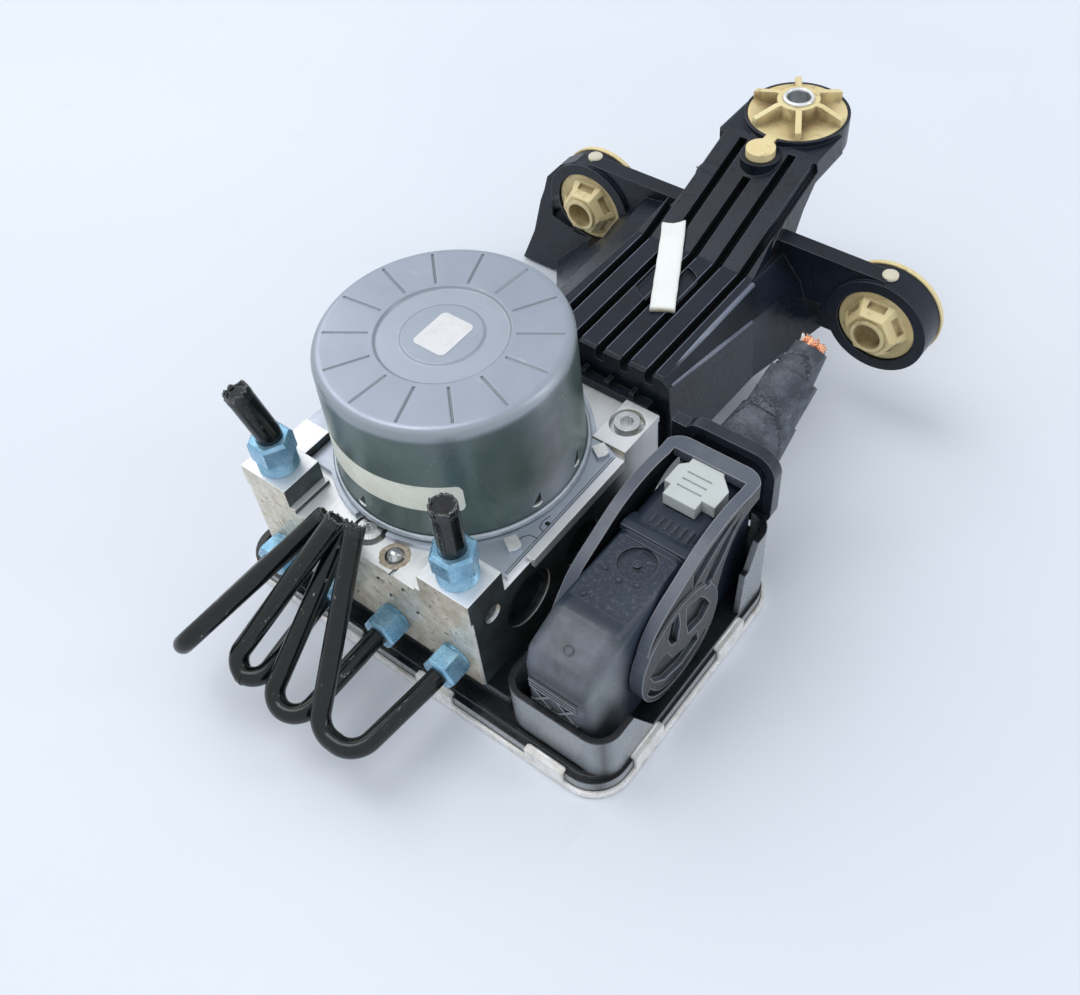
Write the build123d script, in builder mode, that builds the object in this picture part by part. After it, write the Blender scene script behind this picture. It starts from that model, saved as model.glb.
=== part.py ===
from build123d import *
import os
from math import atan2, cos, degrees, radians, sin, tan

# Anti-lock brake module: pump motor on a valve block, control unit with its lever plug below and beside it,
# cut brake pipes, and a ribbed plastic bracket hung in rubber-mounting bushes.
# Millimetres. X runs toward the plug, Y toward the bracket, Z up. The motor axis is the Z axis and
# z = 0 is the underside of the control unit's cover.

# ---- shared clearances ----
fit = 0.05  # radial clearance of pins and pipes in their bores
gap = 0.3  # running gap between pieces that move past each other

# ---- control unit ----
unit_left = -60.0
unit_right = 97.6
unit_front = -59.9
unit_back = 39.0
unit_corner = 13.0
unit_height = 13.1
cover_wall = 1.0
cover_lip = 3.0
rim_height = 7.2
tab_width = 14.5
tab_reach = 2.2
front_tab_x = (-8.0, 31.0, 75.0)
side_tab_y = (-36.0, 9.5)
board_thickness = 1.6

# ---- valve block ----
block_width = 93.6
block_front = -51.9
block_back = 43.2
block_height = 34.2
boss_width = 19.6
boss_depth = 15.2
boss_height = 9.2
pad_width = 12.8
pad_depth = 19.0
pad_height = 2.7
land_width = 10.5
land_depth = 13.0
land_height = 5.2
edge_break = 0.8
wheel_port_x = (-36.8, -12.0, 12.0, 36.8)
wheel_port_rise = 8.9  # height of the wheel ports above the block's underside
valve_columns = 4
valve_pitch = 21.0
valve_radius = 4.2
valve_reach = 7.5

# ---- pump motor ----
can_radius = 40.2
can_top_radius = 39.1
can_height = 46.9
can_wall = 1.6
can_edge = 3.2
can_rim = 41.5
crease_count = 14
crease_inner = 20.5
stamp_inner = 13.0
stamp_depth = 0.7
flange_radius = 43.0
flange_thickness = 2.2
shaft_radius = 4.0
eccentric_offset = 1.0
pump_radius = 8.4
cap_radius = 10.2

# ---- brake pipes ----
pipe_radius = 3.15
wheel_hex = 11.0
wheel_nut_length = 7.4
wheel_thread_radius = 5.0
inlet_radius = 4.15
inlet_hex = 12.6
inlet_nut_length = 7.5
inlet_thread_radius = 6.0
inlet_thread_show = 5.4
inlet_stub_rise = 19.0  # cut pipe standing above its nut

# ---- lever plug ----
plug_x = 75.7
shroud_width = 39.0
shroud_wall = 2.0
shroud_front = -54.8
shroud_back = 36.5
shroud_corner = 8.0
shroud_floor = 9.2
shroud_top = 28.0
shroud_tower = 38.0
hood_width = 24.0
hood_top = 55.0
hood_wall = 2.4
pivot_y = -13.0
pivot_z = 29.5
pivot_radius = 4.0
cam_radius = 20.0
lever_inner = 12.5  # half the clear width between the lever's arms
pin_reach = 2.2  # depth of the pivot pins' seats in the cams
arm_width = 3.8
cam_width = 4.6
bridge_front = 27.2
bridge_depth = 5.8
bridge_low = 57.0
bridge_high = 60.5
lock_travel = 4.0
lock_top = 60.0

# ---- bracket ----
bracket_x = 20.5
panel_top = 62.0
panel_half = 25.2
panel_start = 47.0
panel_end = 103.0
groove_pitch = 9.75
groove_width = 3.3
groove_depth = 4.5
arm_slope = 18.5
arm_half = 19.5
eye_y = 169.5
eye_radius = 18.8
eye_top = 80.5
ear_spread = 61.0  # from the bracket's middle to each ear bush
ear_z = 43.5
ear_radius = 18.4
ear_plate_y = 130.8
ear_plate = 6.3
ear_ring_front = 123.0
ear_ring_back = 134.0
bush_mouth_y = 117.0
sleeve_radius = 5.5
sleeve_bore = 4.25
side_bore = 5.0
bush_disc = 17.6
plug_pin_reach = 25.0  # from the eye to the small plug in front of it
bracket_wall = 3.0
bracket_screw_z = 31.0
bracket_screw_radius = 3.0
bracket_screw_grip = 10.0

# ---- derived ----
unit_x = (unit_left + unit_right) / 2
unit_y = (unit_front + unit_back) / 2
unit_width = unit_right - unit_left
unit_depth = unit_back - unit_front
block_middle = (block_front + block_back) / 2
block_depth = block_back - block_front
block_top = unit_height + block_height
boss_x = block_width / 2 - boss_width / 2
boss_y = block_front + boss_depth / 2
boss_top = block_top + boss_height
wheel_port_z = unit_height + wheel_port_rise
can_base = block_top + flange_thickness
can_top = can_base + can_height
shroud_x0 = plug_x - shroud_width / 2
shroud_x1 = plug_x + shroud_width / 2
shroud_middle = (shroud_front + shroud_back) / 2
shroud_depth = shroud_back - shroud_front
hood_front = shroud_front + shroud_wall + 1.2
hood_back = shroud_back - shroud_wall - 0.6
screw_seat_y = panel_start + bracket_wall + 1.0
bracket_screw_seats = ((-2.0, screw_seat_y), (38.5, screw_seat_y))

os.makedirs("parts", exist_ok=True)


def upright_y(y):
    """Upright plane across the object at y: its x is X, its y is Z, and it extrudes toward -Y."""
    return Plane(origin=(0, y, 0), x_dir=(1, 0, 0), z_dir=(0, -1, 0))


def upright_x(x):
    """Upright plane along the object at x: its x is Y, its y is Z, and it extrudes toward +X."""
    return Plane(origin=(x, 0, 0), x_dir=(0, 1, 0), z_dir=(1, 0, 0))


def save(piece, name):
    """Label a finished piece and write it to its own file."""
    piece.part.label = name
    export_step(piece.part, f"parts/{name}.step")


# ---------------------------------------------------------------- control unit
def unit_outline(inset):
    """The control unit's rounded plan, drawn in from its outer edge by inset."""
    with Locations((unit_x, unit_y)):
        RectangleRounded(unit_width - 2 * inset, unit_depth - 2 * inset, unit_corner - inset)


# The cover: a pressed tray whose crimp tabs fold over the housing's rim on all four sides.
tab_top = rim_height + cover_wall
tab_feet = [Plane(origin=(x, unit_front, 0), x_dir=(0, 1, 0), z_dir=(1, 0, 0)) for x in front_tab_x]
tab_feet += [Plane(origin=(x, unit_back, 0), x_dir=(0, -1, 0), z_dir=(-1, 0, 0)) for x in front_tab_x]
tab_feet += [Plane(origin=(unit_right, y, 0), x_dir=(-1, 0, 0), z_dir=(0, 1, 0)) for y in side_tab_y]
tab_feet += [Plane(origin=(unit_left, y, 0), x_dir=(1, 0, 0), z_dir=(0, -1, 0)) for y in side_tab_y]
with BuildPart() as ecu_cover:
    with BuildSketch():
        unit_outline(0)
    extrude(amount=cover_lip)
    with BuildSketch(Plane.XY.offset(cover_wall)):
        unit_outline(cover_wall)
    extrude(amount=cover_lip, mode=Mode.SUBTRACT)
    with BuildSketch(*tab_feet):
        with BuildLine():
            Polyline(
                (0, 0),
                (0, tab_top),
                (tab_reach, tab_top),
                (tab_reach, rim_height),
                (cover_wall, rim_height),
                (cover_wall, 0),
                close=True,
            )
        make_face()
    extrude(amount=tab_width / 2, both=True)
save(ecu_cover, "ecu_cover")

# The housing: a rim with a raised bead, a tray under the block, and the shroud around the plug.
rim_inset = cover_wall + 0.2
bead_inset = tab_reach + 1.0
bead_width = 1.5
bead_height = 1.2
tray_inset = 8.4
cavity_inset = 11.0
housing_wall = 2.4
cavity_top = unit_height - housing_wall
valve_row = 18.0
valve_start = -(valve_columns - 1) / 2 * valve_pitch
valve_places = []
for column in range(valve_columns):
    for row in (0, 1):
        valve_places.append((valve_start + column * valve_pitch, row * valve_row - 8.0))
with BuildPart() as ecu_housing:
    with BuildSketch(Plane.XY.offset(cover_wall)):
        unit_outline(rim_inset)
    extrude(amount=rim_height - cover_wall)
    with BuildSketch(Plane.XY.offset(rim_height)):
        unit_outline(bead_inset)
        with Locations((unit_x, unit_y)):
            RectangleRounded(
                unit_width - 2 * (bead_inset + bead_width),
                unit_depth - 2 * (bead_inset + bead_width),
                unit_corner - bead_inset - bead_width,
                mode=Mode.SUBTRACT,
            )
    extrude(amount=bead_height)
    # raised tray under the block, up to the shroud
    tray_left = unit_left + tray_inset
    tray_right = shroud_x0 + shroud_wall
    with BuildSketch(Plane.XY.offset(rim_height)):
        with Locations(((tray_left + tray_right) / 2, unit_y + 0.6)):
            RectangleRounded(tray_right - tray_left, unit_depth - 2 * tray_inset, 4.0)
    extrude(amount=unit_height - rim_height)
    # shroud: outer wall, then the well for the plug
    with BuildSketch(Plane.XY.offset(cover_wall)):
        with Locations((plug_x, shroud_middle)):
            RectangleRounded(shroud_width, shroud_depth, shroud_corner)
    extrude(amount=shroud_tower - cover_wall)
    with BuildSketch(Plane.XY.offset(shroud_floor)):
        with Locations((plug_x, shroud_middle)):
            RectangleRounded(
                shroud_width - 2 * shroud_wall, shroud_depth - 2 * shroud_wall, shroud_corner - shroud_wall
            )
    extrude(amount=shroud_tower, mode=Mode.SUBTRACT)
    # the wall stands to shroud_top in front and on the block's side, higher at the back corner tower
    with BuildSketch(upright_x(shroud_x0 - 1)):
        with BuildLine():
            Polyline(
                (shroud_front - 1, shroud_top),
                (21.0, shroud_top),
                (26.0, shroud_tower + 1),
                (shroud_front - 1, shroud_tower + 1),
                close=True,
            )
        make_face()
    extrude(amount=shroud_width + 2, mode=Mode.SUBTRACT)
    with BuildSketch(Plane.XY.offset(shroud_top)):
        with Locations((plug_x - 8, shroud_middle)):
            Rectangle(shroud_width, shroud_depth + 2)
    extrude(amount=shroud_tower, mode=Mode.SUBTRACT)
    # the outer wall is open beside the lever's cam
    with BuildSketch(upright_x(plug_x + 12)):
        with BuildLine():
            Polyline(
                (-41.0, shroud_top + 1),
                (-38.5, 24.0),
                (-31.0, shroud_floor),
                (17.0, shroud_floor),
                (19.0, shroud_top + 1),
                close=True,
            )
        make_face()
    extrude(amount=shroud_width / 2, mode=Mode.SUBTRACT)
    # hollow inside, open to the cover, and deeper under the block
    with BuildSketch(Plane.XY.offset(cover_wall)):
        unit_outline(cavity_inset)
    extrude(amount=shroud_floor - housing_wall - cover_wall, mode=Mode.SUBTRACT)
    with BuildSketch(Plane.XY.offset(cover_wall)):
        with Locations(((unit_left + cavity_inset + shroud_x0) / 2, unit_y)):
            Rectangle(shroud_x0 - unit_left - cavity_inset, unit_depth - 2 * cavity_inset)
    extrude(amount=cavity_top - cover_wall, mode=Mode.SUBTRACT)
    # holes for the valve domes and the contact pins
    with BuildSketch(Plane.XY.offset(cavity_top - 0.5)):
        with Locations(*valve_places):
            Circle(valve_radius + fit)
    extrude(amount=5, mode=Mode.SUBTRACT)
save(ecu_housing, "ecu_housing")

board_z = cover_wall + 1.5
with BuildPart() as circuit_board:
    with BuildSketch(Plane.XY.offset(board_z)):
        unit_outline(cavity_inset + 0.5)
    extrude(amount=board_thickness)
save(circuit_board, "circuit_board")

coil_base = board_z + board_thickness
with BuildPart() as solenoid_coils:
    with BuildSketch(Plane.XY.offset(coil_base)):
        with Locations(*valve_places):
            Rectangle(15.0, 15.0)
        with Locations(*valve_places):
            Circle(valve_radius + fit, mode=Mode.SUBTRACT)
    extrude(amount=cavity_top - coil_base - 0.1)
save(solenoid_coils, "solenoid_coils")

with BuildPart() as valve_cartridges:
    with BuildSketch(Plane.XY.offset(coil_base + 0.4)):
        with Locations(*valve_places):
            Circle(valve_radius)
    extrude(amount=unit_height + valve_reach - coil_base - 0.4)
save(valve_cartridges, "valve_cartridges")

# Contact blades stand from the unit's floor inside the plug.
pin_width = 1.6
with BuildPart() as connector_pins:
    with BuildSketch(Plane.XY.offset(shroud_floor)):
        with Locations((plug_x, -14.0)):
            with GridLocations(6.0, 7.0, 3, 6):
                Rectangle(0.8, pin_width)
    extrude(amount=12.0)
save(connector_pins, "connector_pins")

# ---------------------------------------------------------------- valve block
screw_places = ((-1.4, -43.1), (40.0, 35.0), (-40.0, 35.0))
screw_head = 5.6
screw_sink = 3.4
screw_depth = 14.0
screw_radius = 2.9
ball_x = 11.7
ball_y = -46.0
ball_radius = 3.2
side_ball_y = -42.9
side_ball_z = 42.6
pump_z = 30.0
cap_y = -27.0
cap_z = 31.5
accumulator_depth = 22.0
with BuildPart() as hcu_block:
    with BuildSketch(Plane.XY.offset(unit_height)):
        with Locations((0, block_middle)):
            Rectangle(block_width, block_depth)
    extrude(amount=block_height)
    chamfer(hcu_block.edges().filter_by(Axis.Z), edge_break)
    with BuildSketch(Plane.XY.offset(block_top)):
        with Locations((-boss_x, boss_y), (boss_x, boss_y)):
            Rectangle(boss_width, boss_depth)
    extrude(amount=boss_height)
    with BuildSketch(Plane.XY.offset(block_top)):
        pad_x = block_width / 2 - pad_width / 2
        with Locations((-pad_x, block_back - pad_depth / 2), (pad_x, block_back - pad_depth / 2)):
            Rectangle(pad_width, pad_depth)
    extrude(amount=pad_height)
    with BuildSketch(Plane.XY.offset(block_top)):
        with Locations((-block_width / 2 + land_width / 2, block_front + boss_depth + land_depth / 2)):
            Rectangle(land_width, land_depth)
    extrude(amount=land_height)
    # narrow foot along the inner side of each pipe boss
    with BuildSketch(Plane.XY.offset(block_top)):
        foot_x = block_width / 2 - boss_width - 1.2
        with Locations((-foot_x, boss_y), (foot_x, boss_y)):
            Rectangle(2.4, boss_depth)
    extrude(amount=1.6)
    # motor shaft bore and the pump bores that cross it
    with BuildSketch(Plane.XY.offset(block_top)):
        Circle(15.0)
    extrude(amount=-28.0, mode=Mode.SUBTRACT)
    with BuildSketch(Plane.YZ):
        with Locations((0, pump_z)):
            Circle(pump_radius + fit)
    extrude(amount=block_width, both=True, mode=Mode.SUBTRACT)
    for side in (-1, 1):
        with BuildSketch(upright_x(side * block_width / 2)):
            with Locations((cap_y, cap_z)):
                Circle(cap_radius + fit)
        extrude(amount=-side * accumulator_depth, mode=Mode.SUBTRACT)
    with BuildSketch(upright_x(block_width / 2)):
        with Locations((side_ball_y, side_ball_z)):
            Circle(ball_radius + fit)
    extrude(amount=-6.0, mode=Mode.SUBTRACT)
    # wheel ports in the front face, inlet ports in the bosses
    with BuildSketch(upright_y(block_front)):
        with Locations(*[(x, wheel_port_z) for x in wheel_port_x]):
            Circle(wheel_thread_radius + fit)
    extrude(amount=-11.0, mode=Mode.SUBTRACT)
    with BuildSketch(Plane.XY.offset(boss_top)):
        with Locations((-boss_x, boss_y), (boss_x, boss_y)):
            Circle(inlet_thread_radius + fit)
    extrude(amount=-14.0, mode=Mode.SUBTRACT)
    # valve bores from below
    with BuildSketch(Plane.XY.offset(unit_height)):
        with Locations(*valve_places):
            Circle(valve_radius + fit)
    extrude(amount=valve_reach + 0.1, mode=Mode.SUBTRACT)
    # counterbored screw holes and the plugged drilling on the deck
    for x, y in screw_places:
        top = block_top + (pad_height if y > 0 else 0)
        with Locations(Plane(origin=(x, y, top))):
            CounterBoreHole(screw_radius + fit, screw_head + gap, screw_sink, screw_depth)
    with Locations(Plane(origin=(ball_x, ball_y, block_top))):
        CounterBoreHole(ball_radius - 0.7, ball_radius + fit, 3.0, 9.0)
    # milled groove from the ball's seat to the front edge
    with BuildSketch(Plane.XY.offset(block_top)):
        with Locations((ball_x + 3.5, ball_y - 3.0)):
            Rectangle(1.2, 6.5)
    extrude(amount=-0.8, mode=Mode.SUBTRACT)
    # tapped holes for the bracket
    with BuildSketch(upright_y(block_back)):
        with Locations(*[(x, bracket_screw_z) for x, seat in bracket_screw_seats]):
            Circle(bracket_screw_radius + fit)
    extrude(amount=bracket_screw_grip, mode=Mode.SUBTRACT)
    # drilled dimples of the front face
    with BuildSketch(upright_y(block_front)):
        with Locations((9.0, 39.3), (13.0, 33.4), (19.9, 42.1), (24.1, 33.2), (-6.0, 40.5), (-21.0, 34.0)):
            Circle(1.5)
    extrude(amount=-1.6, mode=Mode.SUBTRACT)
save(hcu_block, "hcu_block")

# Deck screws: flanged heads with a six-lobed socket, one shank each.
with BuildPart() as deck_screws:
    for x, y in screw_places:
        top = block_top + (pad_height if y > 0 else 0)
        seat = top - screw_sink
        with BuildSketch(Plane.XY.offset(seat)):
            with Locations((x, y)):
                Circle(screw_head)
        extrude(amount=1.2)
        with BuildSketch(Plane.XY.offset(seat)):
            with Locations((x, y)):
                Circle(screw_head - 1.3)
        extrude(amount=4.2)
        with BuildSketch(Plane.XY.offset(seat)):
            with Locations((x, y)):
                Circle(screw_radius)
        extrude(amount=-10.0)
        with BuildSketch(Plane.XY.offset(seat + 4.2)):
            with Locations((x, y)):
                RegularPolygon(2.3, 6)
                RegularPolygon(2.3, 6, rotation=30)
        extrude(amount=-2.4, mode=Mode.SUBTRACT)
save(deck_screws, "deck_screws")

with BuildPart() as ball_plugs:
    with Locations((ball_x, ball_y, block_top - 2.9 + ball_radius * 0.8)):
        Sphere(ball_radius * 0.8)
    with BuildSketch(upright_x(block_width / 2 - 0.6)):
        with Locations((side_ball_y, side_ball_z)):
            Circle(ball_radius)
    extrude(amount=-2.4)
save(ball_plugs, "ball_plugs")

# Pump plugs and accumulator caps close the bores in both side faces.
for name, radius, y, z, depth in (
    ("pump_plugs", pump_radius, 0.0, pump_z, 9.0),
    ("accumulator_caps", cap_radius, cap_y, cap_z, 5.0),
):
    with BuildPart() as side_plugs:
        for side in (-1, 1):
            with BuildSketch(upright_x(side * (block_width / 2 - 0.5))):
                with Locations((y, z)):
                    Circle(radius)
            extrude(amount=-side * depth)
            with BuildSketch(upright_x(side * (block_width / 2 - 0.5))):
                with Locations((y, z)):
                    Circle(radius - 2.0)
            extrude(amount=-side * 1.5, mode=Mode.SUBTRACT)
    save(side_plugs, name)

eccentric_radius = 7.0
bearing_outer = 10.0
piston_inner = bearing_outer + eccentric_offset + gap
with BuildPart() as pump_pistons:
    for side in (-1, 1):
        with BuildSketch(upright_x(side * piston_inner)):
            with Locations((0, pump_z)):
                Circle(4.5)
        extrude(amount=side * 5.0)
        with BuildSketch(upright_x(side * (piston_inner + 5.0))):
            with Locations((0, pump_z)):
                Circle(pump_radius)
        extrude(amount=side * (block_width / 2 - 9.5 - piston_inner - 5.0))
save(pump_pistons, "pump_pistons")

for side, name in ((-1, "accumulator_piston_left"), (1, "accumulator_piston_right")):
    with BuildPart() as accumulator_piston:
        with BuildSketch(upright_x(side * (block_width / 2 - accumulator_depth))):
            with Locations((cap_y, cap_z)):
                Circle(cap_radius)
        extrude(amount=side * 8.0)
    save(accumulator_piston, name)

# ---------------------------------------------------------------- pump motor
wing_right = block_width / 2 + 1.6
with BuildPart() as motor_flange:
    with BuildSketch(Plane.XY.offset(block_top)):
        Circle(flange_radius)
        for side in (-1, 1):
            with BuildLine():
                Polyline(
                    (0, -34.0),
                    (side * 27.0, -34.0),
                    (side * (block_width / 2 - 1.2), -34.0 + 0.5),
                    (side * (block_width / 2 - 1.2), 21.8),
                    (side * 36.0, 25.5),
                    (0, 25.5),
                    close=True,
                )
            make_face()
        Circle(15.0, mode=Mode.SUBTRACT)
    extrude(amount=flange_thickness)
    # side strips that fold down past the block's edges
    for side in (-1, 1):
        with BuildSketch(upright_y(21.8)):
            with BuildLine():
                Polyline(
                    (side * (block_width / 2 - 1.4), block_top + flange_thickness),
                    (side * wing_right, block_top + flange_thickness),
                    (side * wing_right, block_top - 1.6),
                    (side * (block_width / 2 + 0.1), block_top - 1.6),
                    (side * (block_width / 2 + 0.1), block_top + 0.6),
                    (side * (block_width / 2 - 1.4), block_top + 0.6),
                    close=True,
                )
            make_face()
        extrude(amount=46.1)
    # clear of the pipe bosses, the back pads, the land and the front screw
    with BuildSketch(Plane.XY.offset(block_top - 3)):
        for side in (-1, 1):
            with Locations((side * boss_x, boss_y)):
                Rectangle(boss_width + 5.2, boss_depth + 0.6)
            with Locations((side * (block_width / 2 - pad_width / 2), block_back - pad_depth / 2)):
                Rectangle(pad_width + 0.6, pad_depth + 0.6)
        with Locations((-block_width / 2 + land_width / 2 - 1, block_front + boss_depth + land_depth / 2)):
            Rectangle(land_width + 2.6, land_depth + 0.6)
        for x, y in screw_places:
            with Locations((x, y)):
                Circle(screw_head + 0.9)
    extrude(amount=8, mode=Mode.SUBTRACT)
    # bright lugs staked over the can's rim
    with BuildSketch(Plane.XY.offset(can_base)):
        with Locations((39.9, -23.7), (40.2, 20.4)):
            Rectangle(5.0, 4.0, rotation=-32)
    extrude(amount=1.2)
save(motor_flange, "motor_flange")

# The can: deep-drawn, slightly tapered, with a stamped centre and creases fanning to the edge.
with BuildPart() as motor_can:
    with BuildSketch(Plane.XZ):
        with BuildLine():
            Polyline(
                (can_rim, can_base),
                (can_rim, can_base + can_wall),
                (can_radius, can_base + can_wall),
                (can_top_radius, can_top),
                (crease_inner, can_top),
                (crease_inner - 0.8, can_top - stamp_depth),
                (stamp_inner, can_top - stamp_depth),
                (stamp_inner - 0.8, can_top - 0.2),
                (0, can_top - 0.2),
                (0, can_top - 2.4),
                (can_top_radius - 2.6, can_top - 2.4),
                (can_radius - can_wall, can_base),
                close=True,
            )
        make_face()
    revolve(axis=Axis.Z)
    round_edges = motor_can.edges().filter_by(GeomType.CIRCLE)
    rim_edge = round_edges.filter_by(lambda e: abs(e.radius - can_top_radius) < 0.01)
    fillet(rim_edge, can_edge)
    crease_length = can_top_radius - can_edge - crease_inner - 1.5
    crease_middle = crease_inner + 1.5 + crease_length / 2
    with Locations(Plane.XY.offset(can_top)):
        with PolarLocations(crease_middle, crease_count, start_angle=7):
            Box(crease_length, 0.7, 0.7, rotation=(45, 0, 0), mode=Mode.SUBTRACT)
save(motor_can, "motor_can")

# Inside the can: magnets on the wall, the wound armature on its shaft, and the brush gear below it.
magnet_outer = min(can_radius, can_top_radius) - can_wall - 1.1
with BuildPart() as motor_magnets:
    with BuildSketch(Plane.XY.offset(can_base + 12)):
        with BuildLine():
            outer_arc = CenterArc((0, 0), magnet_outer, -38, 76)
            inner_arc = CenterArc((0, 0), magnet_outer - 7.5, -38, 76)
            Line(outer_arc @ 0, inner_arc @ 0)
            Line(outer_arc @ 1, inner_arc @ 1)
        magnet_face = make_face()
        with PolarLocations(0, 3, start_angle=90, angular_range=270):
            add(magnet_face)
    extrude(amount=27)
save(motor_magnets, "motor_magnets")

armature_radius = magnet_outer - 8.5
with BuildPart() as armature:
    with BuildSketch(Plane.XY.offset(can_base + 14)):
        Circle(armature_radius)
        with PolarLocations(armature_radius - 2.5, 10):
            Rectangle(9.0, 2.2, mode=Mode.SUBTRACT)
        Circle(shaft_radius + fit, mode=Mode.SUBTRACT)
    extrude(amount=23)
save(armature, "armature")

with BuildPart() as commutator:
    with BuildSketch(Plane.XY.offset(can_base + 3)):
        Circle(9.5)
        Circle(shaft_radius + fit, mode=Mode.SUBTRACT)
    extrude(amount=9)
save(commutator, "commutator")

with BuildPart() as motor_shaft:
    with BuildSketch(Plane.XY.offset(pump_z - 8)):
        Circle(shaft_radius)
    extrude(amount=can_top - 3.4 - pump_z + 8)
    with BuildSketch(Plane.XY.offset(pump_z - 4.5)):
        with Locations((0, eccentric_offset)):
            Circle(eccentric_radius)
    extrude(amount=9.0)
save(motor_shaft, "motor_shaft")

with BuildPart() as eccentric_bearing:
    with BuildSketch(Plane.XY.offset(pump_z - 4.0)):
        with Locations((0, eccentric_offset)):
            Circle(bearing_outer)
            Circle(eccentric_radius + fit, mode=Mode.SUBTRACT)
    extrude(amount=8.0)
save(eccentric_bearing, "eccentric_bearing")

with BuildPart() as shaft_bearing:
    with BuildSketch(Plane.XY.offset(block_top - 8)):
        Circle(15.0)
        Circle(shaft_radius + fit, mode=Mode.SUBTRACT)
    extrude(amount=7.5)
save(shaft_bearing, "shaft_bearing")

with BuildPart() as brush_holder:
    with BuildSketch(Plane.XY.offset(can_base + 0.1)):
        Circle(can_radius - can_wall - 0.9)
        Circle(shaft_radius + 2, mode=Mode.SUBTRACT)
    extrude(amount=2.4)
save(brush_holder, "brush_holder")

with BuildPart() as brushes:
    with BuildSketch(Plane.XY.offset(can_base + 4)):
        with PolarLocations(9.5 + gap + 5.0, 4, start_angle=45):
            Rectangle(10.0, 5.0)
    extrude(amount=7)
    with BuildSketch(Plane.XY.offset(can_base + 2.5)):
        with PolarLocations(9.5 + gap + 6.5, 4, start_angle=45):
            Rectangle(7.0, 5.0)
    extrude(amount=1.5)
save(brushes, "brushes")

# ---------------------------------------------------------------- pipes and nuts
nut_gap = 1.5  # thread left showing between the block and each wheel nut
with BuildPart() as wheel_nuts:
    with BuildSketch(upright_y(block_front - nut_gap)):
        with Locations(*[(x, wheel_port_z) for x in wheel_port_x]):
            RegularPolygon(wheel_hex / 2, 6, major_radius=False)
    extrude(amount=wheel_nut_length)
    chamfer(wheel_nuts.faces().filter_by(Axis.Y).sort_by(Axis.Y)[0:4].edges(), 0.7)
    with BuildSketch(upright_y(block_front - nut_gap)):
        with Locations(*[(x, wheel_port_z) for x in wheel_port_x]):
            Circle(wheel_thread_radius)
    extrude(amount=-(nut_gap + 9.0))
    with BuildSketch(upright_y(block_front + 9.0)):
        with Locations(*[(x, wheel_port_z) for x in wheel_port_x]):
            Circle(pipe_radius + fit)
    extrude(amount=40, mode=Mode.SUBTRACT)
save(wheel_nuts, "wheel_nuts")

with BuildPart() as inlet_nuts:
    with BuildSketch(Plane.XY.offset(boss_top + inlet_thread_show)):
        with Locations((-boss_x, boss_y), (boss_x, boss_y)):
            RegularPolygon(inlet_hex / 2, 6, major_radius=False)
    extrude(amount=inlet_nut_length)
    chamfer(inlet_nuts.faces().filter_by(Axis.Z).sort_by(Axis.Z)[-2:].edges(), 0.9)
    with BuildSketch(Plane.XY.offset(boss_top + inlet_thread_show)):
        with Locations((-boss_x, boss_y), (boss_x, boss_y)):
            Circle(inlet_thread_radius)
    extrude(amount=-(inlet_thread_show + 12.0))
    with BuildSketch(Plane.XY.offset(boss_top - 12.0)):
        with Locations((-boss_x, boss_y), (boss_x, boss_y)):
            Circle(inlet_radius + fit)
    extrude(amount=40, mode=Mode.SUBTRACT)
save(inlet_nuts, "inlet_nuts")


def tube(route, bends, radius):
    """A round bar along straight runs joined by tangent bends, cut square at both ends."""
    with BuildLine() as middle:
        FilletPolyline(*route, radius=bends)
    with BuildPart() as bar:
        with BuildSketch(Plane(origin=middle.line @ 0, z_dir=middle.line % 0)):
            Circle(radius)
        sweep(path=middle.line)
    return bar


port_y = block_front + 8.0
inlet_foot = boss_top - 11.0
inlet_head = boss_top + inlet_thread_show + inlet_nut_length
with BuildPart() as inlet_pipe_right:
    with BuildSketch(Plane.XY.offset(inlet_foot)):
        with Locations((boss_x, boss_y)):
            Circle(inlet_radius)
    extrude(amount=inlet_head + inlet_stub_rise - inlet_foot)
save(inlet_pipe_right, "inlet_pipe_right")
inlet_pipe_left = tube(
    (
        (-boss_x, boss_y, inlet_foot),
        (-boss_x, boss_y, inlet_head + 2.0),
        (-boss_x - 4.0, boss_y - 2.6, inlet_head + inlet_stub_rise),
    ),
    5.0,
    inlet_radius,
)
save(inlet_pipe_left, "inlet_pipe_left")

# Each wheel pipe leaves its nut, loops back and is cut off above the front edge of the block.
wheel_routes = (
    (
        (wheel_port_x[0], port_y, wheel_port_z),
        (wheel_port_x[0], -99.0, wheel_port_z),
        (-28.7, -101.5, 33.0),
        (-11.9, -50.0, 54.5),
    ),
    (
        (wheel_port_x[1], port_y, wheel_port_z),
        (wheel_port_x[1], -62.0, wheel_port_z),
        (-6.5, -95.5, wheel_port_z),
        (-18.0, -95.5, wheel_port_z + 1.0),
        (-1.8, -52.9, 63.0),
    ),
    (
        (wheel_port_x[2], port_y, wheel_port_z),
        (wheel_port_x[2], -64.0, wheel_port_z),
        (12.8, -97.0, wheel_port_z),
        (1.0, -97.0, wheel_port_z + 1.0),
        (-3.4, -48.8, 55.5),
    ),
    (
        (wheel_port_x[3], port_y, wheel_port_z),
        (wheel_port_x[3], -64.0, wheel_port_z),
        (34.5, -95.5, wheel_port_z),
        (20.0, -95.5, wheel_port_z + 1.0),
        (5.0, -52.1, 63.0),
    ),
)
wheel_bends = ((6.0, 6.0), (12.0, 5.6, 5.6), (12.0, 6.2, 6.2), (12.0, 7.5, 7.5))
for number, (route, bends) in enumerate(zip(wheel_routes, wheel_bends), start=1):
    save(tube(route, bends, pipe_radius), f"wheel_pipe_{number}")

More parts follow.
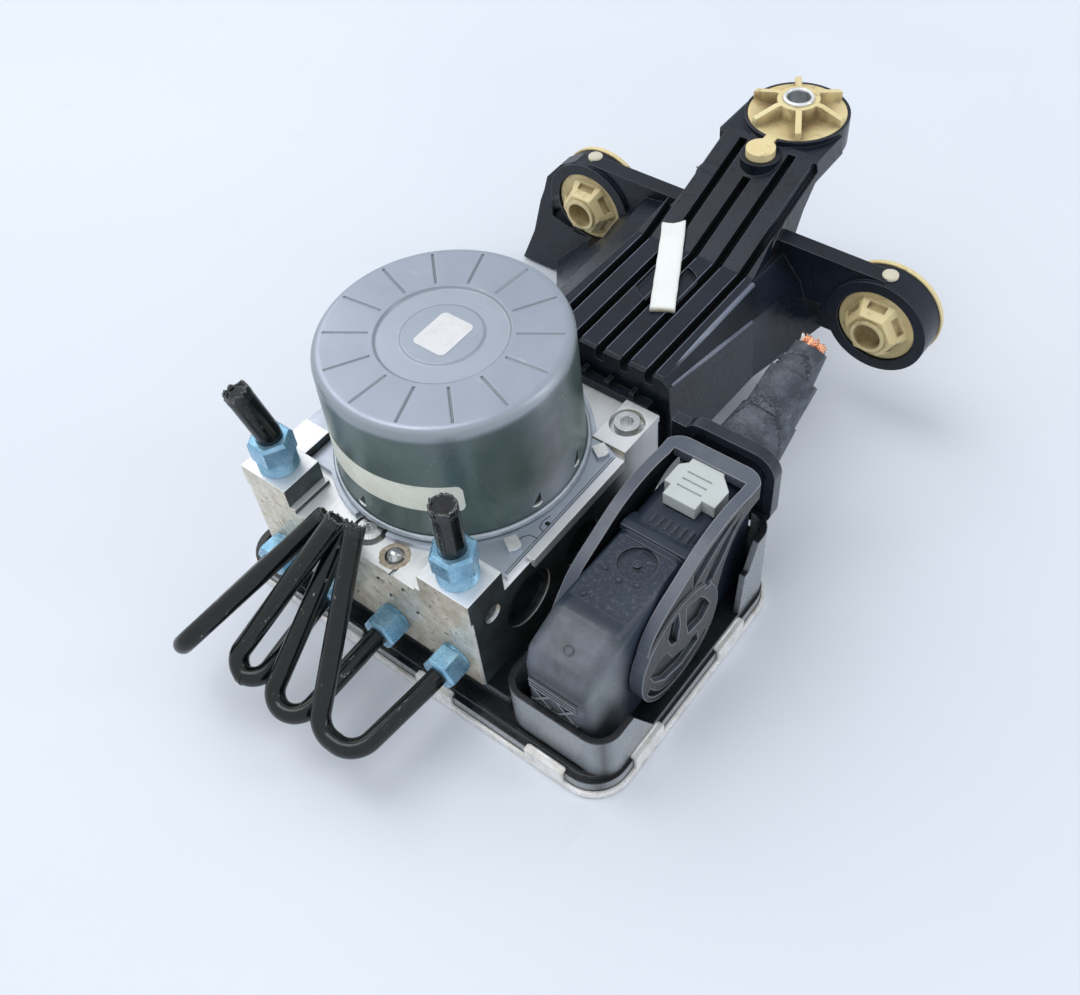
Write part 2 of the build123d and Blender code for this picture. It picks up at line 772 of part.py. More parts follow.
# ---------------------------------------------------------------- lever plug
# The hood, seen from the side: sloped nose, flat back, a step across the top.
nose_low = 42.0
nose_high = 49.5
nose_back = -35.0
step_y = -1.5
lock_slot_width = 9.0
strip_z = 34.0
strip_width = 17.0
with BuildPart() as plug_hood:
    with BuildSketch(upright_x(plug_x - hood_width / 2)):
        with BuildLine():
            Polyline(
                (hood_front, shroud_floor),
                (hood_front, nose_low),
                (hood_front + 2.4, nose_high),
                (nose_back, hood_top),
                (hood_back, hood_top),
                (hood_back, shroud_floor),
                close=True,
            )
        make_face()
    extrude(amount=hood_width)
    nose_edges = plug_hood.edges().filter_by(Axis.X).filter_by(lambda e: e.center().Y < nose_back + 1)
    fillet(nose_edges.filter_by(lambda e: e.center().Z > nose_low - 1), 3.4)
    fillet(plug_hood.edges().filter_by(Axis.Z).group_by(Axis.Y)[0], 4.5)
    fillet(plug_hood.edges().filter_by(lambda e: e.center().Z > nose_low + 1), 2.2)
    # hollow from below for the contacts
    with BuildSketch(Plane.XY.offset(shroud_floor)):
        with Locations((plug_x, (hood_front + hood_back) / 2)):
            Rectangle(hood_width - 2 * hood_wall - 3, hood_back - hood_front - 4 * hood_wall)
    extrude(amount=26.0, mode=Mode.SUBTRACT)
    # recessed field behind the nose, and the ridge with its hollow behind it
    with BuildSketch(Plane.XY.offset(hood_top)):
        with Locations((plug_x, -17.5)):
            Rectangle(hood_width - 4.0, 25.0)
    extrude(amount=-0.7, mode=Mode.SUBTRACT)
    with BuildSketch(upright_x(plug_x - hood_width / 2 + 0.6)):
        with BuildLine():
            Polyline(
                (step_y - 1.6, hood_top - 1),
                (step_y - 1.2, hood_top + 0.9),
                (step_y + 1.2, hood_top + 0.9),
                (step_y + 6.0, hood_top - 1),
                close=True,
            )
        make_face()
    extrude(amount=hood_width - 1.2)
    # round recess with a raised dot in its middle
    with BuildSketch(Plane.XY.offset(hood_top)):
        with Locations((plug_x + 0.3, -11.0)):
            Circle(6.0)
            Circle(1.3, mode=Mode.SUBTRACT)
    extrude(amount=-2.0, mode=Mode.SUBTRACT)
    # finger ribs between the ridge and the lock
    with BuildSketch(Plane.XY.offset(hood_top - 0.4)):
        with Locations((plug_x + 1.5, 4.8)):
            with GridLocations(2.6, 1, 6, 1):
                Rectangle(0.8, 4.2)
    extrude(amount=1.1)
    # slot that guides the lock
    with BuildSketch(Plane.XY.offset(hood_top)):
        with Locations((plug_x, 21.0 - lock_travel / 2)):
            Rectangle(lock_slot_width + 2 * gap, 12.0 + lock_travel + 2 * gap)
    extrude(amount=-4.0, mode=Mode.SUBTRACT)
    # ribbed strip low on the nose: three ribs over a small truss
    with BuildSketch(upright_y(hood_front)):
        with Locations((plug_x - 0.5, strip_z + 2.4)):
            with GridLocations(1, 1.6, 1, 3):
                Rectangle(strip_width, 0.8)
        with Locations((plug_x - 0.5, strip_z - 7.0)):
            Rectangle(strip_width, 0.9)
        with Locations(*[(plug_x - 0.5 + side * strip_width / 4, strip_z - 3.0) for side in (-1, 1)]):
            Rectangle(0.9, 9.0, rotation=40)
            Rectangle(0.9, 9.0, rotation=-40)
    extrude(amount=0.6)
    # pivot pins for the lever
    for side in (-1, 1):
        with BuildSketch(upright_x(plug_x + side * hood_width / 2)):
            with Locations((pivot_y, pivot_z)):
                Circle(pivot_radius)
        extrude(amount=side * (lever_inner - hood_width / 2 + pin_reach - gap))
save(plug_hood, "plug_hood")

# The locking slide on top of the hood: a block with a lug on each side and a tongue in the hood's slot.
lock_middle = 19.0
with BuildPart() as lever_lock:
    with BuildSketch(Plane.XY.offset(hood_top + gap)):
        with Locations((plug_x - 0.2, lock_middle)):
            Rectangle(11.2, 16.2)
        with BuildLine():
            Polyline(
                (plug_x - 8.1, 15.2),
                (plug_x + 9.8, 14.6),
                (plug_x + 10.0, 22.0),
                (plug_x + 5.4, 26.4),
                (plug_x - 5.4, 25.4),
                (plug_x - 8.1, 22.8),
                close=True,
            )
        make_face()
    extrude(amount=lock_top - hood_top - gap)
    with BuildSketch(Plane.XY.offset(lock_top)):
        with Locations((plug_x, lock_middle)):
            with GridLocations(1, 2.9, 1, 3):
                Rectangle(8.4, 0.5)
    extrude(amount=-0.5, mode=Mode.SUBTRACT)
    with BuildSketch(Plane.XY.offset(hood_top + gap)):
        with Locations((plug_x, 21.0)):
            Rectangle(lock_slot_width, 12.0)
    extrude(amount=-(4.0 - gap))
save(lever_lock, "lever_lock")

# The lever: two arms with cams on the hood's pins, joined by a bridge behind the hood.
arm_outer = lever_inner + arm_width
bridge_back = bridge_front + bridge_depth
pocket_depth = 1.9
with BuildPart() as plug_lever:
    for side in (-1, 1):
        # arm, arched over the hood from the bridge down to the cam
        with BuildSketch(upright_x(plug_x + side * lever_inner)):
            with BuildLine():
                Polyline((bridge_back, bridge_high), (24.0, bridge_high))
                Spline(
                    (24.0, bridge_high),
                    (12.0, 61.8),
                    (0.5, 60.2),
                    (-12.0, 55.5),
                    (-22.5, 50.5),
                    (-29.0, 42.0),
                )
                Polyline((-29.0, 42.0), (pivot_y, pivot_z), (5.8, 24.0))
                Spline((5.8, 24.0), (7.6, 32.0), (11.6, 43.5), (17.4, 51.0), (25.5, 54.0))
                Polyline((25.5, 54.0), (bridge_back, 54.0), (bridge_back, bridge_high))
            make_face()
        extrude(amount=side * arm_width)
        with BuildSketch(upright_x(plug_x + side * lever_inner)):
            with Locations((pivot_y, pivot_z)):
                Circle(cam_radius)
        extrude(amount=side * cam_width)
        # sunk fields on the arm, between its thin ribs
        with BuildSketch(upright_x(plug_x + side * (lever_inner + cam_width + 0.1))):
            with BuildLine():
                Polyline(
                    (20.0, 59.3),
                    (12.0, 60.4),
                    (0.5, 58.8),
                    (-6.0, 56.2),
                    (-6.3, 48.0),
                    (3.2, 53.3),
                    (13.5, 58.0),
                    close=True,
                )
            make_face()
            with BuildLine():
                Polyline(
                    (20.5, 57.0),
                    (14.8, 56.2),
                    (4.8, 51.0),
                    (-1.0, 43.4),
                    (4.6, 41.0),
                    (9.6, 45.5),
                    (15.8, 52.6),
                    close=True,
                )
            make_face()
        extrude(amount=-side * (cam_width - arm_width + pocket_depth + 0.1), mode=Mode.SUBTRACT)
        # sunk fields on the cam: a hooked slot, a bulb and a long crescent under it
        with BuildSketch(upright_x(plug_x + side * (lever_inner + cam_width + 0.1))):
            with BuildLine():
                Polyline(
                    (-14.4, 47.6),
                    (-18.4, 46.6),
                    (-20.0, 40.7),
                    (-18.0, 34.8),
                    (-15.0, 33.0),
                    (-13.6, 40.0),
                    close=True,
                )
            make_face()
            with BuildLine():
                Polyline(
                    (-29.0, 32.0),
                    (-24.0, 35.6),
                    (-20.4, 34.2),
                    (-17.6, 27.6),
                    (-11.0, 24.4),
                    (-4.0, 24.6),
                    (-3.2, 18.6),
                    (-12.0, 16.8),
                    (-21.3, 20.0),
                    (-26.8, 26.2),
                    close=True,
                )
            make_face()
            with BuildLine():
                Polyline(
                    (-10.4, 45.5),
                    (-3.4, 42.6),
                    (-0.2, 38.0),
                    (3.0, 31.0),
                    (-1.5, 27.6),
                    (-9.0, 29.5),
                    (-10.2, 36.0),
                    close=True,
                )
            make_face()
            with BuildLine():
                crescent_out = CenterArc((pivot_y, pivot_z), cam_radius - 1.8, 196, 128)
                crescent_in = CenterArc((pivot_y, pivot_z), cam_radius - 3.8, 196, 128)
                Line(crescent_out @ 0, crescent_in @ 0)
                Line(crescent_out @ 1, crescent_in @ 1)
            make_face()
        extrude(amount=-side * (pocket_depth + 0.1), mode=Mode.SUBTRACT)
        with BuildSketch(upright_x(plug_x + side * lever_inner)):
            with Locations((pivot_y, pivot_z)):
                Circle(pivot_radius + fit)
        extrude(amount=side * pin_reach, mode=Mode.SUBTRACT)
    with BuildSketch(Plane.XY.offset(bridge_low)):
        with Locations((plug_x, (bridge_front + bridge_back) / 2)):
            Rectangle(2 * arm_outer, bridge_depth)
    extrude(amount=bridge_high - bridge_low)
    # the bridge's outer corners are well rounded in plan
    with BuildSketch() as lever_plan:
        with Locations((plug_x, 0)):
            Rectangle(2 * (lever_inner + cam_width), 2 * bridge_back)
        fillet(lever_plan.vertices().group_by(Axis.Y)[-1], 7.0)
    extrude(amount=2 * bridge_high, mode=Mode.INTERSECT)
save(plug_lever, "plug_lever")

# Collar at the back of the plug, and the taped harness stub that leaves it, cut off short.
collar_front = shroud_back + 0.6
collar_depth = 4.2
with BuildPart() as plug_collar:
    with BuildSketch(upright_y(collar_front + collar_depth)):
        with Locations((plug_x, 46.0)):
            RectangleRounded(2 * arm_outer + 1.0, 32.0, 8.0)
            RectangleRounded(2 * arm_outer - 5.0, 26.0, 6.0, mode=Mode.SUBTRACT)
    extrude(amount=collar_depth)
    with BuildSketch(upright_y(collar_front + collar_depth - 1.2)):
        with Locations((plug_x, 46.0)):
            RectangleRounded(2 * arm_outer - 4.0, 27.0, 6.0)
    extrude(amount=1.8)
    with BuildSketch(upright_y(collar_front + collar_depth)):
        with Locations((plug_x - arm_outer - 0.5, 54.5)):
            Rectangle(7.0, 9.0)
    extrude(amount=collar_depth)
    # neck that carries the collar on the hood's back
    with BuildSketch(upright_y(collar_front + 2.0)):
        with Locations((plug_x, 44.0)):
            Rectangle(hood_width - 4, 14.0)
    extrude(amount=collar_front + 2.0 - hood_back)
save(plug_collar, "plug_collar")

stub_foot = (plug_x + 0.6, collar_front + collar_depth - 1.2, 47.0)
stub_bend = (78.2, 58.0, 56.0)
stub_end = (80.0, 78.5, 70.0)
stub_axis = Vector(*stub_end) - Vector(*stub_bend)
stub_dir = stub_axis.normalized()


def across_stub(distance):
    """Plane square to the harness stub, at a distance along it from its bend."""
    return Plane(origin=Vector(*stub_bend) + stub_dir * distance, z_dir=stub_dir)


with BuildPart() as harness_stub:
    with BuildSketch(Plane(origin=stub_foot, x_dir=(1, 0, 0), z_dir=(0, 1, 0))):
        Ellipse(12.0, 9.5)
    with BuildSketch(Plane(origin=stub_bend, x_dir=(1, 0, 0), z_dir=tuple(stub_dir))):
        Ellipse(9.4, 8.6)
    loft()
    with BuildSketch(across_stub(0)):
        Ellipse(9.4, 8.6)
    with BuildSketch(across_stub(14.0)):
        Circle(8.2)
    loft()
    with BuildSketch(across_stub(14.0)):
        Circle(6.6)
    with BuildSketch(across_stub(stub_axis.length - 1.0)):
        Circle(5.4)
    loft()
save(harness_stub, "harness_stub")

with BuildPart() as copper_strands:
    with BuildSketch(across_stub(stub_axis.length - 1.0)):
        Circle(1.6)
        with PolarLocations(3.1, 5):
            Circle(1.35)
    extrude(amount=2.2)
save(copper_strands, "copper_strands")

# ---------------------------------------------------------------- bracket
def body_section(right_foot, right_shoulder, right_ridge, left_ridge, left_shoulder, left_foot, inset):
    """One upright section through the bracket body, drawn in by inset at its sides and shoulders."""
    Polygon(
        (right_foot[0] - inset, right_foot[1] - min(inset, 1.0)),
        (right_shoulder[0] - inset, right_shoulder[1] - inset),
        (right_ridge[0] - inset, right_ridge[1] - 2 * inset),
        (left_ridge[0] + inset, left_ridge[1] - 2 * inset),
        (left_shoulder[0] + inset, left_shoulder[1] - inset),
        (left_foot[0] + inset, left_foot[1] - min(inset, 1.0)),
        align=None,
    )


def start_section(inset):
    """The body's section at its front, narrow and upright."""
    body_section(
        (bracket_x + 29.5, bracket_low),
        (bracket_x + 27.2, panel_top - 2.5),
        (bracket_x + panel_half - 1.0, panel_top - 0.2),
        (bracket_x - panel_half + 1.0, panel_top - 0.2),
        (bracket_x - 32.0, panel_top - 5.0),
        (bracket_x - 35.0, bracket_low),
        inset,
    )


def middle_section(inset):
    """The body's section two thirds of the way back, where the left wall begins to flare."""
    body_section(
        (bracket_x + 31.0, bracket_low),
        (bracket_x + 29.3, panel_top - 9.5),
        (bracket_x + panel_half - 1.4, panel_top - 0.2),
        (bracket_x - panel_half + 1.4, panel_top - 0.2),
        (bracket_x - 33.0, panel_top - 5.5),
        (bracket_x - 57.0, bracket_low - 3.0),
        inset,
    )


def back_section(inset):
    """The body's section at the ear plate, flared far to the left."""
    body_section(
        (bracket_x + 39.5, bracket_low + 2.0),
        (bracket_x + 31.0, panel_top - 14.5),
        (bracket_x + 23.0, panel_top - 5.5),
        (bracket_x - 23.5, panel_top - 3.0),
        (bracket_x - 35.5, panel_top - 4.0),
        (bracket_x - 86.0, lobe_low + 2.0),
        inset,
    )


bracket_low = 26.0
lobe_low = 1.0  # underside of the left ear's hanging lobe
flare_y = 95.0
slope_rise = tan(radians(arm_slope))
arm_top = eye_top - 2.0
arm_level_y = panel_end + (arm_top - panel_top) / slope_rise
groove_places = [bracket_x + (number - 2) * groove_pitch for number in range(5)]
slope_plane = Plane(
    origin=(bracket_x, panel_end, panel_top),
    x_dir=(1, 0, 0),
    z_dir=(0, -sin(radians(arm_slope)), cos(radians(arm_slope))),
)
recess_y = 86.0
plug_pin_y = eye_y - plug_pin_reach
plug_pin_radius = 5.25
pin_collar = 7.2
collar_top = eye_top - 2.6
ear_left = bracket_x - ear_spread
ear_right = bracket_x + ear_spread
ear_places = [ear_left, ear_right]
with BuildPart() as bracket_panel:
    # panel from the front to the ear plate, its back part rising with the arm
    with BuildSketch(upright_x(bracket_x - panel_half)):
        with BuildLine():
            Polyline(
                (panel_start, panel_top - 8.0),
                (panel_start, panel_top - 1.6),
                (panel_start + 1.6, panel_top),
                (panel_end, panel_top),
                (ear_plate_y, panel_top + slope_rise * (ear_plate_y - panel_end)),
                (ear_plate_y, panel_top - 8.0),
                close=True,
            )
        make_face()
    extrude(amount=2 * panel_half)
    # drawn in toward the arm's width
    with BuildSketch(Plane.XY.offset(panel_top - 8.0)):
        Polygon(
            (bracket_x - panel_half, panel_start),
            (bracket_x + panel_half, panel_start),
            (bracket_x + panel_half - 1.6, panel_end),
            (bracket_x + arm_half, ear_plate_y),
            (bracket_x - arm_half, ear_plate_y),
            (bracket_x - panel_half + 1.6, panel_end),
            align=None,
        )
    extrude(amount=arm_top, mode=Mode.INTERSECT)

with BuildPart() as mounting_bracket:
    # hollow body, flaring toward the ears
    with BuildSketch(upright_y(panel_start)):
        start_section(0)
    with BuildSketch(upright_y(flare_y)):
        middle_section(0)
    with BuildSketch(upright_y(ear_plate_y)):
        back_section(0)
    loft(ruled=True)
    add(bracket_panel.part)
    # arm rising to the eye, drawn from the side
    with BuildSketch(upright_x(bracket_x - arm_half)):
        with BuildLine():
            Polyline(
                (panel_end + 12.0, panel_top - 4.0),
                (panel_end + 12.0, panel_top + 12.0 * slope_rise),
                (arm_level_y, arm_top),
                (eye_y - 2.0, arm_top),
                (eye_y, 70.0),
                (150.4, 69.5),
                (143.6, 62.4),
                (138.3, 53.1),
                (ear_plate_y, 46.0),
                close=True,
            )
        make_face()
    extrude(amount=2 * arm_half)
    with BuildSketch(Plane.XY.offset(70.0)):
        with Locations((bracket_x, eye_y)):
            Circle(eye_radius)
    extrude(amount=eye_top - 70.0)
    # small lugs on the arm's left edge
    with BuildSketch(Plane.XY.offset(64.0)):
        with Locations((bracket_x - arm_half + 3.6, 137.0)):
            Circle(5.0)
    extrude(amount=panel_top + slope_rise * (137.0 - panel_end) - 65.2)
    with BuildSketch(Plane.XY.offset(70.0)):
        with Locations((bracket_x - arm_half + 1.0, (151.0 + eye_y) / 2)):
            Rectangle(4.4, eye_y - 151.0)
    extrude(amount=arm_top - 71.0)
    # hollow the body and the arm from below
    with BuildSketch(upright_y(panel_start + bracket_wall + 1)):
        start_section(bracket_wall)
    with BuildSketch(upright_y(flare_y)):
        middle_section(bracket_wall)
    with BuildSketch(upright_y(ear_plate_y - bracket_wall)):
        back_section(bracket_wall)
    loft(ruled=True, mode=Mode.SUBTRACT)
    with BuildSketch(upright_x(bracket_x - arm_half + bracket_wall)):
        with BuildLine():
            Polyline(
                (ear_plate_y, 40.0),
                (ear_plate_y, panel_top + slope_rise * (ear_plate_y - panel_end) - 8.0),
                (arm_level_y - 2.0, arm_top - 8.0),
                (arm_level_y - 2.0, 60.0),
                close=True,
            )
        make_face()
    extrude(amount=2 * (arm_half - bracket_wall), mode=Mode.SUBTRACT)
    # two long ribs stiffen the hollow
    rib_y = (panel_start + ear_plate_y) / 2
    with BuildSketch(Plane.XY.offset(bracket_low + 6.0)):
        with Locations((bracket_x - 9.0, rib_y), (bracket_x + 9.0, rib_y)):
            Rectangle(2.2, ear_plate_y - panel_start - 2.0)
    extrude(amount=panel_top - 6.0 - bracket_low - 6.0)
    # front plate against the valve block
    with BuildSketch(upright_y(block_back + bracket_wall + 1.0)):
        with Locations((bracket_x - 8.0, 33.0)):
            RectangleRounded(66.0, 27.0, 4.0)
    extrude(amount=bracket_wall + 1.0)
    # ledge over the block's edge, with short ribs under the grooves
    with BuildSketch(Plane.XY.offset(46.0)):
        with Locations((bracket_x, block_back + 2.6)):
            Rectangle(2 * panel_half - 8, 5.2)
    extrude(amount=4.4)
    with BuildSketch(Plane.XY.offset(50.4)):
        with Locations(*[(x + groove_pitch / 2, block_back + 3.0) for x in groove_places[:-1]]):
            Rectangle(1.6, 4.4)
    extrude(amount=2.4)
    # collar of the small plug in front of the eye
    with BuildSketch(Plane.XY.offset(70.0)):
        with Locations((bracket_x, plug_pin_y)):
            Circle(pin_collar)
    extrude(amount=collar_top - 70.0)
    # grooves of the panel and of the arm
    with BuildSketch(Plane.XY.offset(panel_top)):
        with Locations(*[(x, (panel_start + panel_end) / 2) for x in groove_places]):
            Rectangle(groove_width, panel_end - panel_start + 2)
    extrude(amount=-groove_depth, mode=Mode.SUBTRACT)
    slope_length = (eye_y - eye_radius - panel_end) / cos(radians(arm_slope))
    pin_slope_length = (plug_pin_y - pin_collar - panel_end) / cos(radians(arm_slope))
    with BuildSketch(slope_plane):
        with Locations(*[(x - bracket_x, slope_length / 2 - 1.0) for x in groove_places if x != bracket_x]):
            Rectangle(groove_width, slope_length)
        with Locations((0, pin_slope_length / 2 - 1.0)):
            Rectangle(groove_width, pin_slope_length)
    extrude(amount=-groove_depth, mode=Mode.SUBTRACT)
    # round recess under the foam strip
    with BuildSketch(Plane.XY.offset(panel_top)):
        with Locations((bracket_x, recess_y)):
            Circle(10.5)
    extrude(amount=-1.6, mode=Mode.SUBTRACT)
    # ear plates and rings
    plate_high = ear_z + ear_radius + 0.7
    with BuildSketch(upright_y(ear_plate_y)):
        with Locations((bracket_x, (32.2 + plate_high) / 2)):
            Rectangle(2 * ear_spread, plate_high - 32.2)
        with Locations(*[(x, ear_z) for x in ear_places]):
            Circle(ear_radius)
        with Locations((bracket_x, 20.0)):
            Rectangle(2 * ear_spread - 44.0, 44.0, mode=Mode.SUBTRACT)
    extrude(amount=ear_plate)
    with BuildSketch(upright_y(ear_ring_back)):
        with Locations(*[(x, ear_z) for x in ear_places]):
            Circle(ear_radius)
    extrude(amount=ear_ring_back - ear_ring_front)
    # the left ear's hanging lobe
    with BuildSketch(upright_y(ear_plate_y)):
        Polygon(
            (ear_left + 7.0, plate_high),
            (ear_left - 6.5, plate_high - 1.4),
            (ear_left - 14.0, ear_z + 13.3),
            (ear_left - 21.0, ear_z + 5.3),
            (ear_left - 23.0, ear_z - 1.5),
            (ear_left - 25.5, ear_z - 7.8),
            (ear_left - 30.3, ear_z - 25.0),
            (ear_left - 38.0, lobe_low),
            (ear_left - 22.0, lobe_low),
            (ear_left + 20.0, ear_z - 19.5),
            (ear_left + 20.0, plate_high),
            align=None,
        )
    extrude(amount=ear_plate)
    # its window, which leaves the bush's seat standing
    with BuildSketch(upright_y(ear_ring_back + 1.0)):
        Polygon(
            (ear_left - 15.5, ear_z + 1.0),
            (ear_left - 19.8, ear_z - 7.5),
            (ear_left - 19.7, ear_z - 13.4),
            (ear_left - 11.3, ear_z - 15.8),
            (ear_left - 1.5, ear_z - 15.4),
            (ear_left - 1.5, ear_z - 7.0),
            (ear_left - 8.0, ear_z + 1.0),
            align=None,
        )
        with Locations((ear_left, ear_z)):
            Circle(14.9, mode=Mode.SUBTRACT)
    extrude(amount=ear_ring_back - ear_ring_front + 2.0, mode=Mode.SUBTRACT)
    # holes for the screws into the block's back face
    with BuildSketch(upright_y(panel_start + bracket_wall + 2.0)):
        with Locations(*[(x, bracket_screw_z) for x, seat in bracket_screw_seats]):
            Circle(bracket_screw_radius + 0.3)
    extrude(amount=20.0, mode=Mode.SUBTRACT)
    # bush seats: through bores with a recess in front
    for x in ear_places:
        with Locations(Plane(origin=(x, ear_ring_front, ear_z), z_dir=(0, -1, 0))):
            CounterBoreHole(11.2, 14.3, 3.0, ear_ring_back - ear_ring_front)
    with Locations(Plane(origin=(bracket_x, eye_y, eye_top))):
        CounterBoreHole(14.2, bush_disc + gap, 2.6, 12.0)
    with Locations(Plane(origin=(bracket_x, plug_pin_y, eye_top))):
        Hole(plug_pin_radius + 0.15, 14.0)
    # way for the neck between the eye's bush and its small plug
    with BuildSketch(Plane.XY.offset(eye_top - 2.6)):
        with Locations((bracket_x, plug_pin_y + plug_pin_reach / 4)):
            Rectangle(5.0, plug_pin_reach / 2)
    extrude(amount=4.0, mode=Mode.SUBTRACT)
save(mounting_bracket, "mounting_bracket")

with BuildPart() as bracket_screws:
    for x, seat in bracket_screw_seats:
        with BuildSketch(upright_y(seat)):
            with Locations((x, bracket_screw_z)):
                RegularPolygon(5.0, 6, major_radius=False)
        extrude(amount=-4.5)
        with BuildSketch(upright_y(seat)):
            with Locations((x, bracket_screw_z)):
                Circle(bracket_screw_radius)
        extrude(amount=seat - block_back + bracket_screw_grip - 1.0)
save(bracket_screws, "bracket_screws")

# Foam strip left lying on the panel, bent where the panel rises.
foam_x = 17.6
foam_y = 91.4
foam_width = 8.4
foam_length = 42.5
foam_turn = 28.5
foam_thickness = 1.8
with BuildPart() as foam_strip:
    with BuildSketch(upright_x(foam_x - foam_length)):
        Polygon(
            (foam_y - foam_length, panel_top),
            (panel_end, panel_top),
            (ear_plate_y, panel_top + slope_rise * (ear_plate_y - panel_end)),
            (ear_plate_y, panel_top + slope_rise * (ear_plate_y - panel_end) + foam_thickness),
            (panel_end, panel_top + foam_thickness),
            (foam_y - foam_length, panel_top + foam_thickness),
            align=None,
        )
    extrude(amount=2 * foam_length)
    with BuildSketch(Plane.XY.offset(panel_top)):
        with Locations((foam_x, foam_y)):
            Rectangle(foam_width, foam_length, rotation=foam_turn)
    extrude(amount=foam_length, mode=Mode.INTERSECT)
save(foam_strip, "foam_strip")

# Top bush: a spoked disc round a steel sleeve, moulded in one with the small round plug in front.
disc_floor = eye_top - 2.6
spoke_height = 5.5
spoke_count = 6
with BuildPart() as top_bush:
    with BuildSketch(Plane.XY.offset(disc_floor)):
        with Locations((bracket_x, eye_y)):
            Circle(bush_disc)
        with Locations((bracket_x, plug_pin_y + plug_pin_reach / 4 + 1.0)):
            Rectangle(4.4, plug_pin_reach / 2 - 2.0)
    extrude(amount=2.6)
    with BuildSketch(Plane.XY.offset(disc_floor)):
        with Locations((bracket_x, eye_y)):
            Circle(13.9)
    extrude(amount=-9.0)
    with BuildSketch(Plane.XY.offset(eye_top)):
        with Locations((bracket_x, eye_y)):
            Circle(7.6)
    extrude(amount=spoke_height)
    for number in range(spoke_count):
        turn = radians(number * 360 / spoke_count)
        with BuildSketch(
            Plane(
                origin=(bracket_x, eye_y, eye_top),
                x_dir=(cos(turn), sin(turn), 0),
                z_dir=(-sin(turn), cos(turn), 0),
            )
        ):
            Polygon(
                (sleeve_radius + 0.5, 0),
                (sleeve_radius + 0.5, -spoke_height),
                (9.0, -spoke_height),
                (bush_disc, -3.0),
                (bush_disc, 0),
                align=None,
            )
        extrude(amount=1.1, both=True)
    with BuildSketch(Plane.XY.offset(eye_top - 8.0)):
        with Locations((bracket_x, plug_pin_y)):
            Circle(plug_pin_radius)
    extrude(amount=8.0)
    with BuildSketch(Plane.XY.offset(disc_floor - 9.0)):
        with Locations((bracket_x, eye_y)):
            Circle(sleeve_radius + fit)
    extrude(amount=30, mode=Mode.SUBTRACT)
save(top_bush, "top_bush")

with BuildPart() as top_sleeve:
    with BuildSketch(Plane.XY.offset(disc_floor - 9.0)):
        with Locations((bracket_x, eye_y)):
            Circle(sleeve_radius)
            Circle(sleeve_bore, mode=Mode.SUBTRACT)
    extrude(amount=9.0 + 2.6 + spoke_height + 0.4)
save(top_sleeve, "top_sleeve")

# Side bushes: a flange in the ring's recess, a hexagonal nose with windows, and a lip behind the ring.
flange_front = ear_ring_front + 1.0
nose_root = 10.6
nose_tip = 7.2
nose_length = flange_front - bush_mouth_y - 1.0
for name, x in zip(("side_bush_left", "side_bush_right"), ear_places):
    with BuildPart() as side_bush:
        with BuildSketch(upright_y(ear_ring_front + 3.0)):
            with Locations((x, ear_z)):
                Circle(14.0)
        extrude(amount=2.0)
        with BuildSketch(upright_y(flange_front)):
            with Locations((x, ear_z)):
                RegularPolygon(nose_root, 6, major_radius=False)
        extrude(amount=nose_length, taper=degrees(atan2(nose_root - nose_tip, nose_length)))
        # moulded pockets round the nose's root
        for number in range(6):
            turn = radians(30 + 60 * number)
            with BuildSketch(upright_y(flange_front - 0.6)):
                with Locations(
                    Location((x + 9.6 * cos(turn), ear_z + 9.6 * sin(turn), 0), 60 * number + 120)
                ):
                    Rectangle(6.6, 2.2)
            extrude(amount=2.4, mode=Mode.SUBTRACT)
        with BuildSketch(upright_y(bush_mouth_y + 2.0)):
            with Locations((x, ear_z)):
                Circle(6.3)
        extrude(amount=2.0)
        with BuildSketch(upright_y(ear_ring_back + 1.6)):
            with Locations((x, ear_z)):
                Circle(ear_radius + 0.5)
        extrude(amount=1.6)
        with BuildSketch(upright_y(ear_ring_back)):
            with Locations((x, ear_z)):
                Circle(11.1)
        extrude(amount=ear_ring_back - ear_ring_front - 3.0)
        with BuildSketch(upright_y(ear_ring_back + 3.0)):
            with Locations((x, ear_z)):
                Circle(side_bore)
        extrude(amount=30.0, mode=Mode.SUBTRACT)
    save(side_bush, name)

# Bare labels on the motor.
with BuildPart() as motor_label_top:
    with BuildSketch(Plane.XY.offset(can_top - 0.2)):
        with Locations((0.5, 0)):
            RectangleRounded(15.0, 12.0, 1.8, rotation=90)
    extrude(amount=0.2)
save(motor_label_top, "motor_label_top")
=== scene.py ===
from math import cos, pi, radians, sin, sqrt, tan

import bmesh
import bpy
from mathutils import Matrix, Vector, noise


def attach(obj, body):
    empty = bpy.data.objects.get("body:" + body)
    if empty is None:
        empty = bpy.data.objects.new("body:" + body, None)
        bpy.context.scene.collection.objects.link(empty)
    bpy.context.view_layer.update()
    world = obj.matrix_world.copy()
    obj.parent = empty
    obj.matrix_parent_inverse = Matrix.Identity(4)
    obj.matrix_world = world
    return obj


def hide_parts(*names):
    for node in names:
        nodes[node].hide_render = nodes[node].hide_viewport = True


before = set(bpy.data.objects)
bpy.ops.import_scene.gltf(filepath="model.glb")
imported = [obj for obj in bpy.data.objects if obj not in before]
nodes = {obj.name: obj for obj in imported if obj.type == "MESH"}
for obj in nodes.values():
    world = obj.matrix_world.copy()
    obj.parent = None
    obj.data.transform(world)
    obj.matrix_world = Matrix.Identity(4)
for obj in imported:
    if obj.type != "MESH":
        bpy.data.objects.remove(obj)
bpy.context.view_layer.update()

MM = 0.001
UP, DOWN = (0, 0, 1), (0, 0, -1)
FRONT, LEFT, RIGHT = (0, -1, 0), (-1, 0, 0), (1, 0, 0)
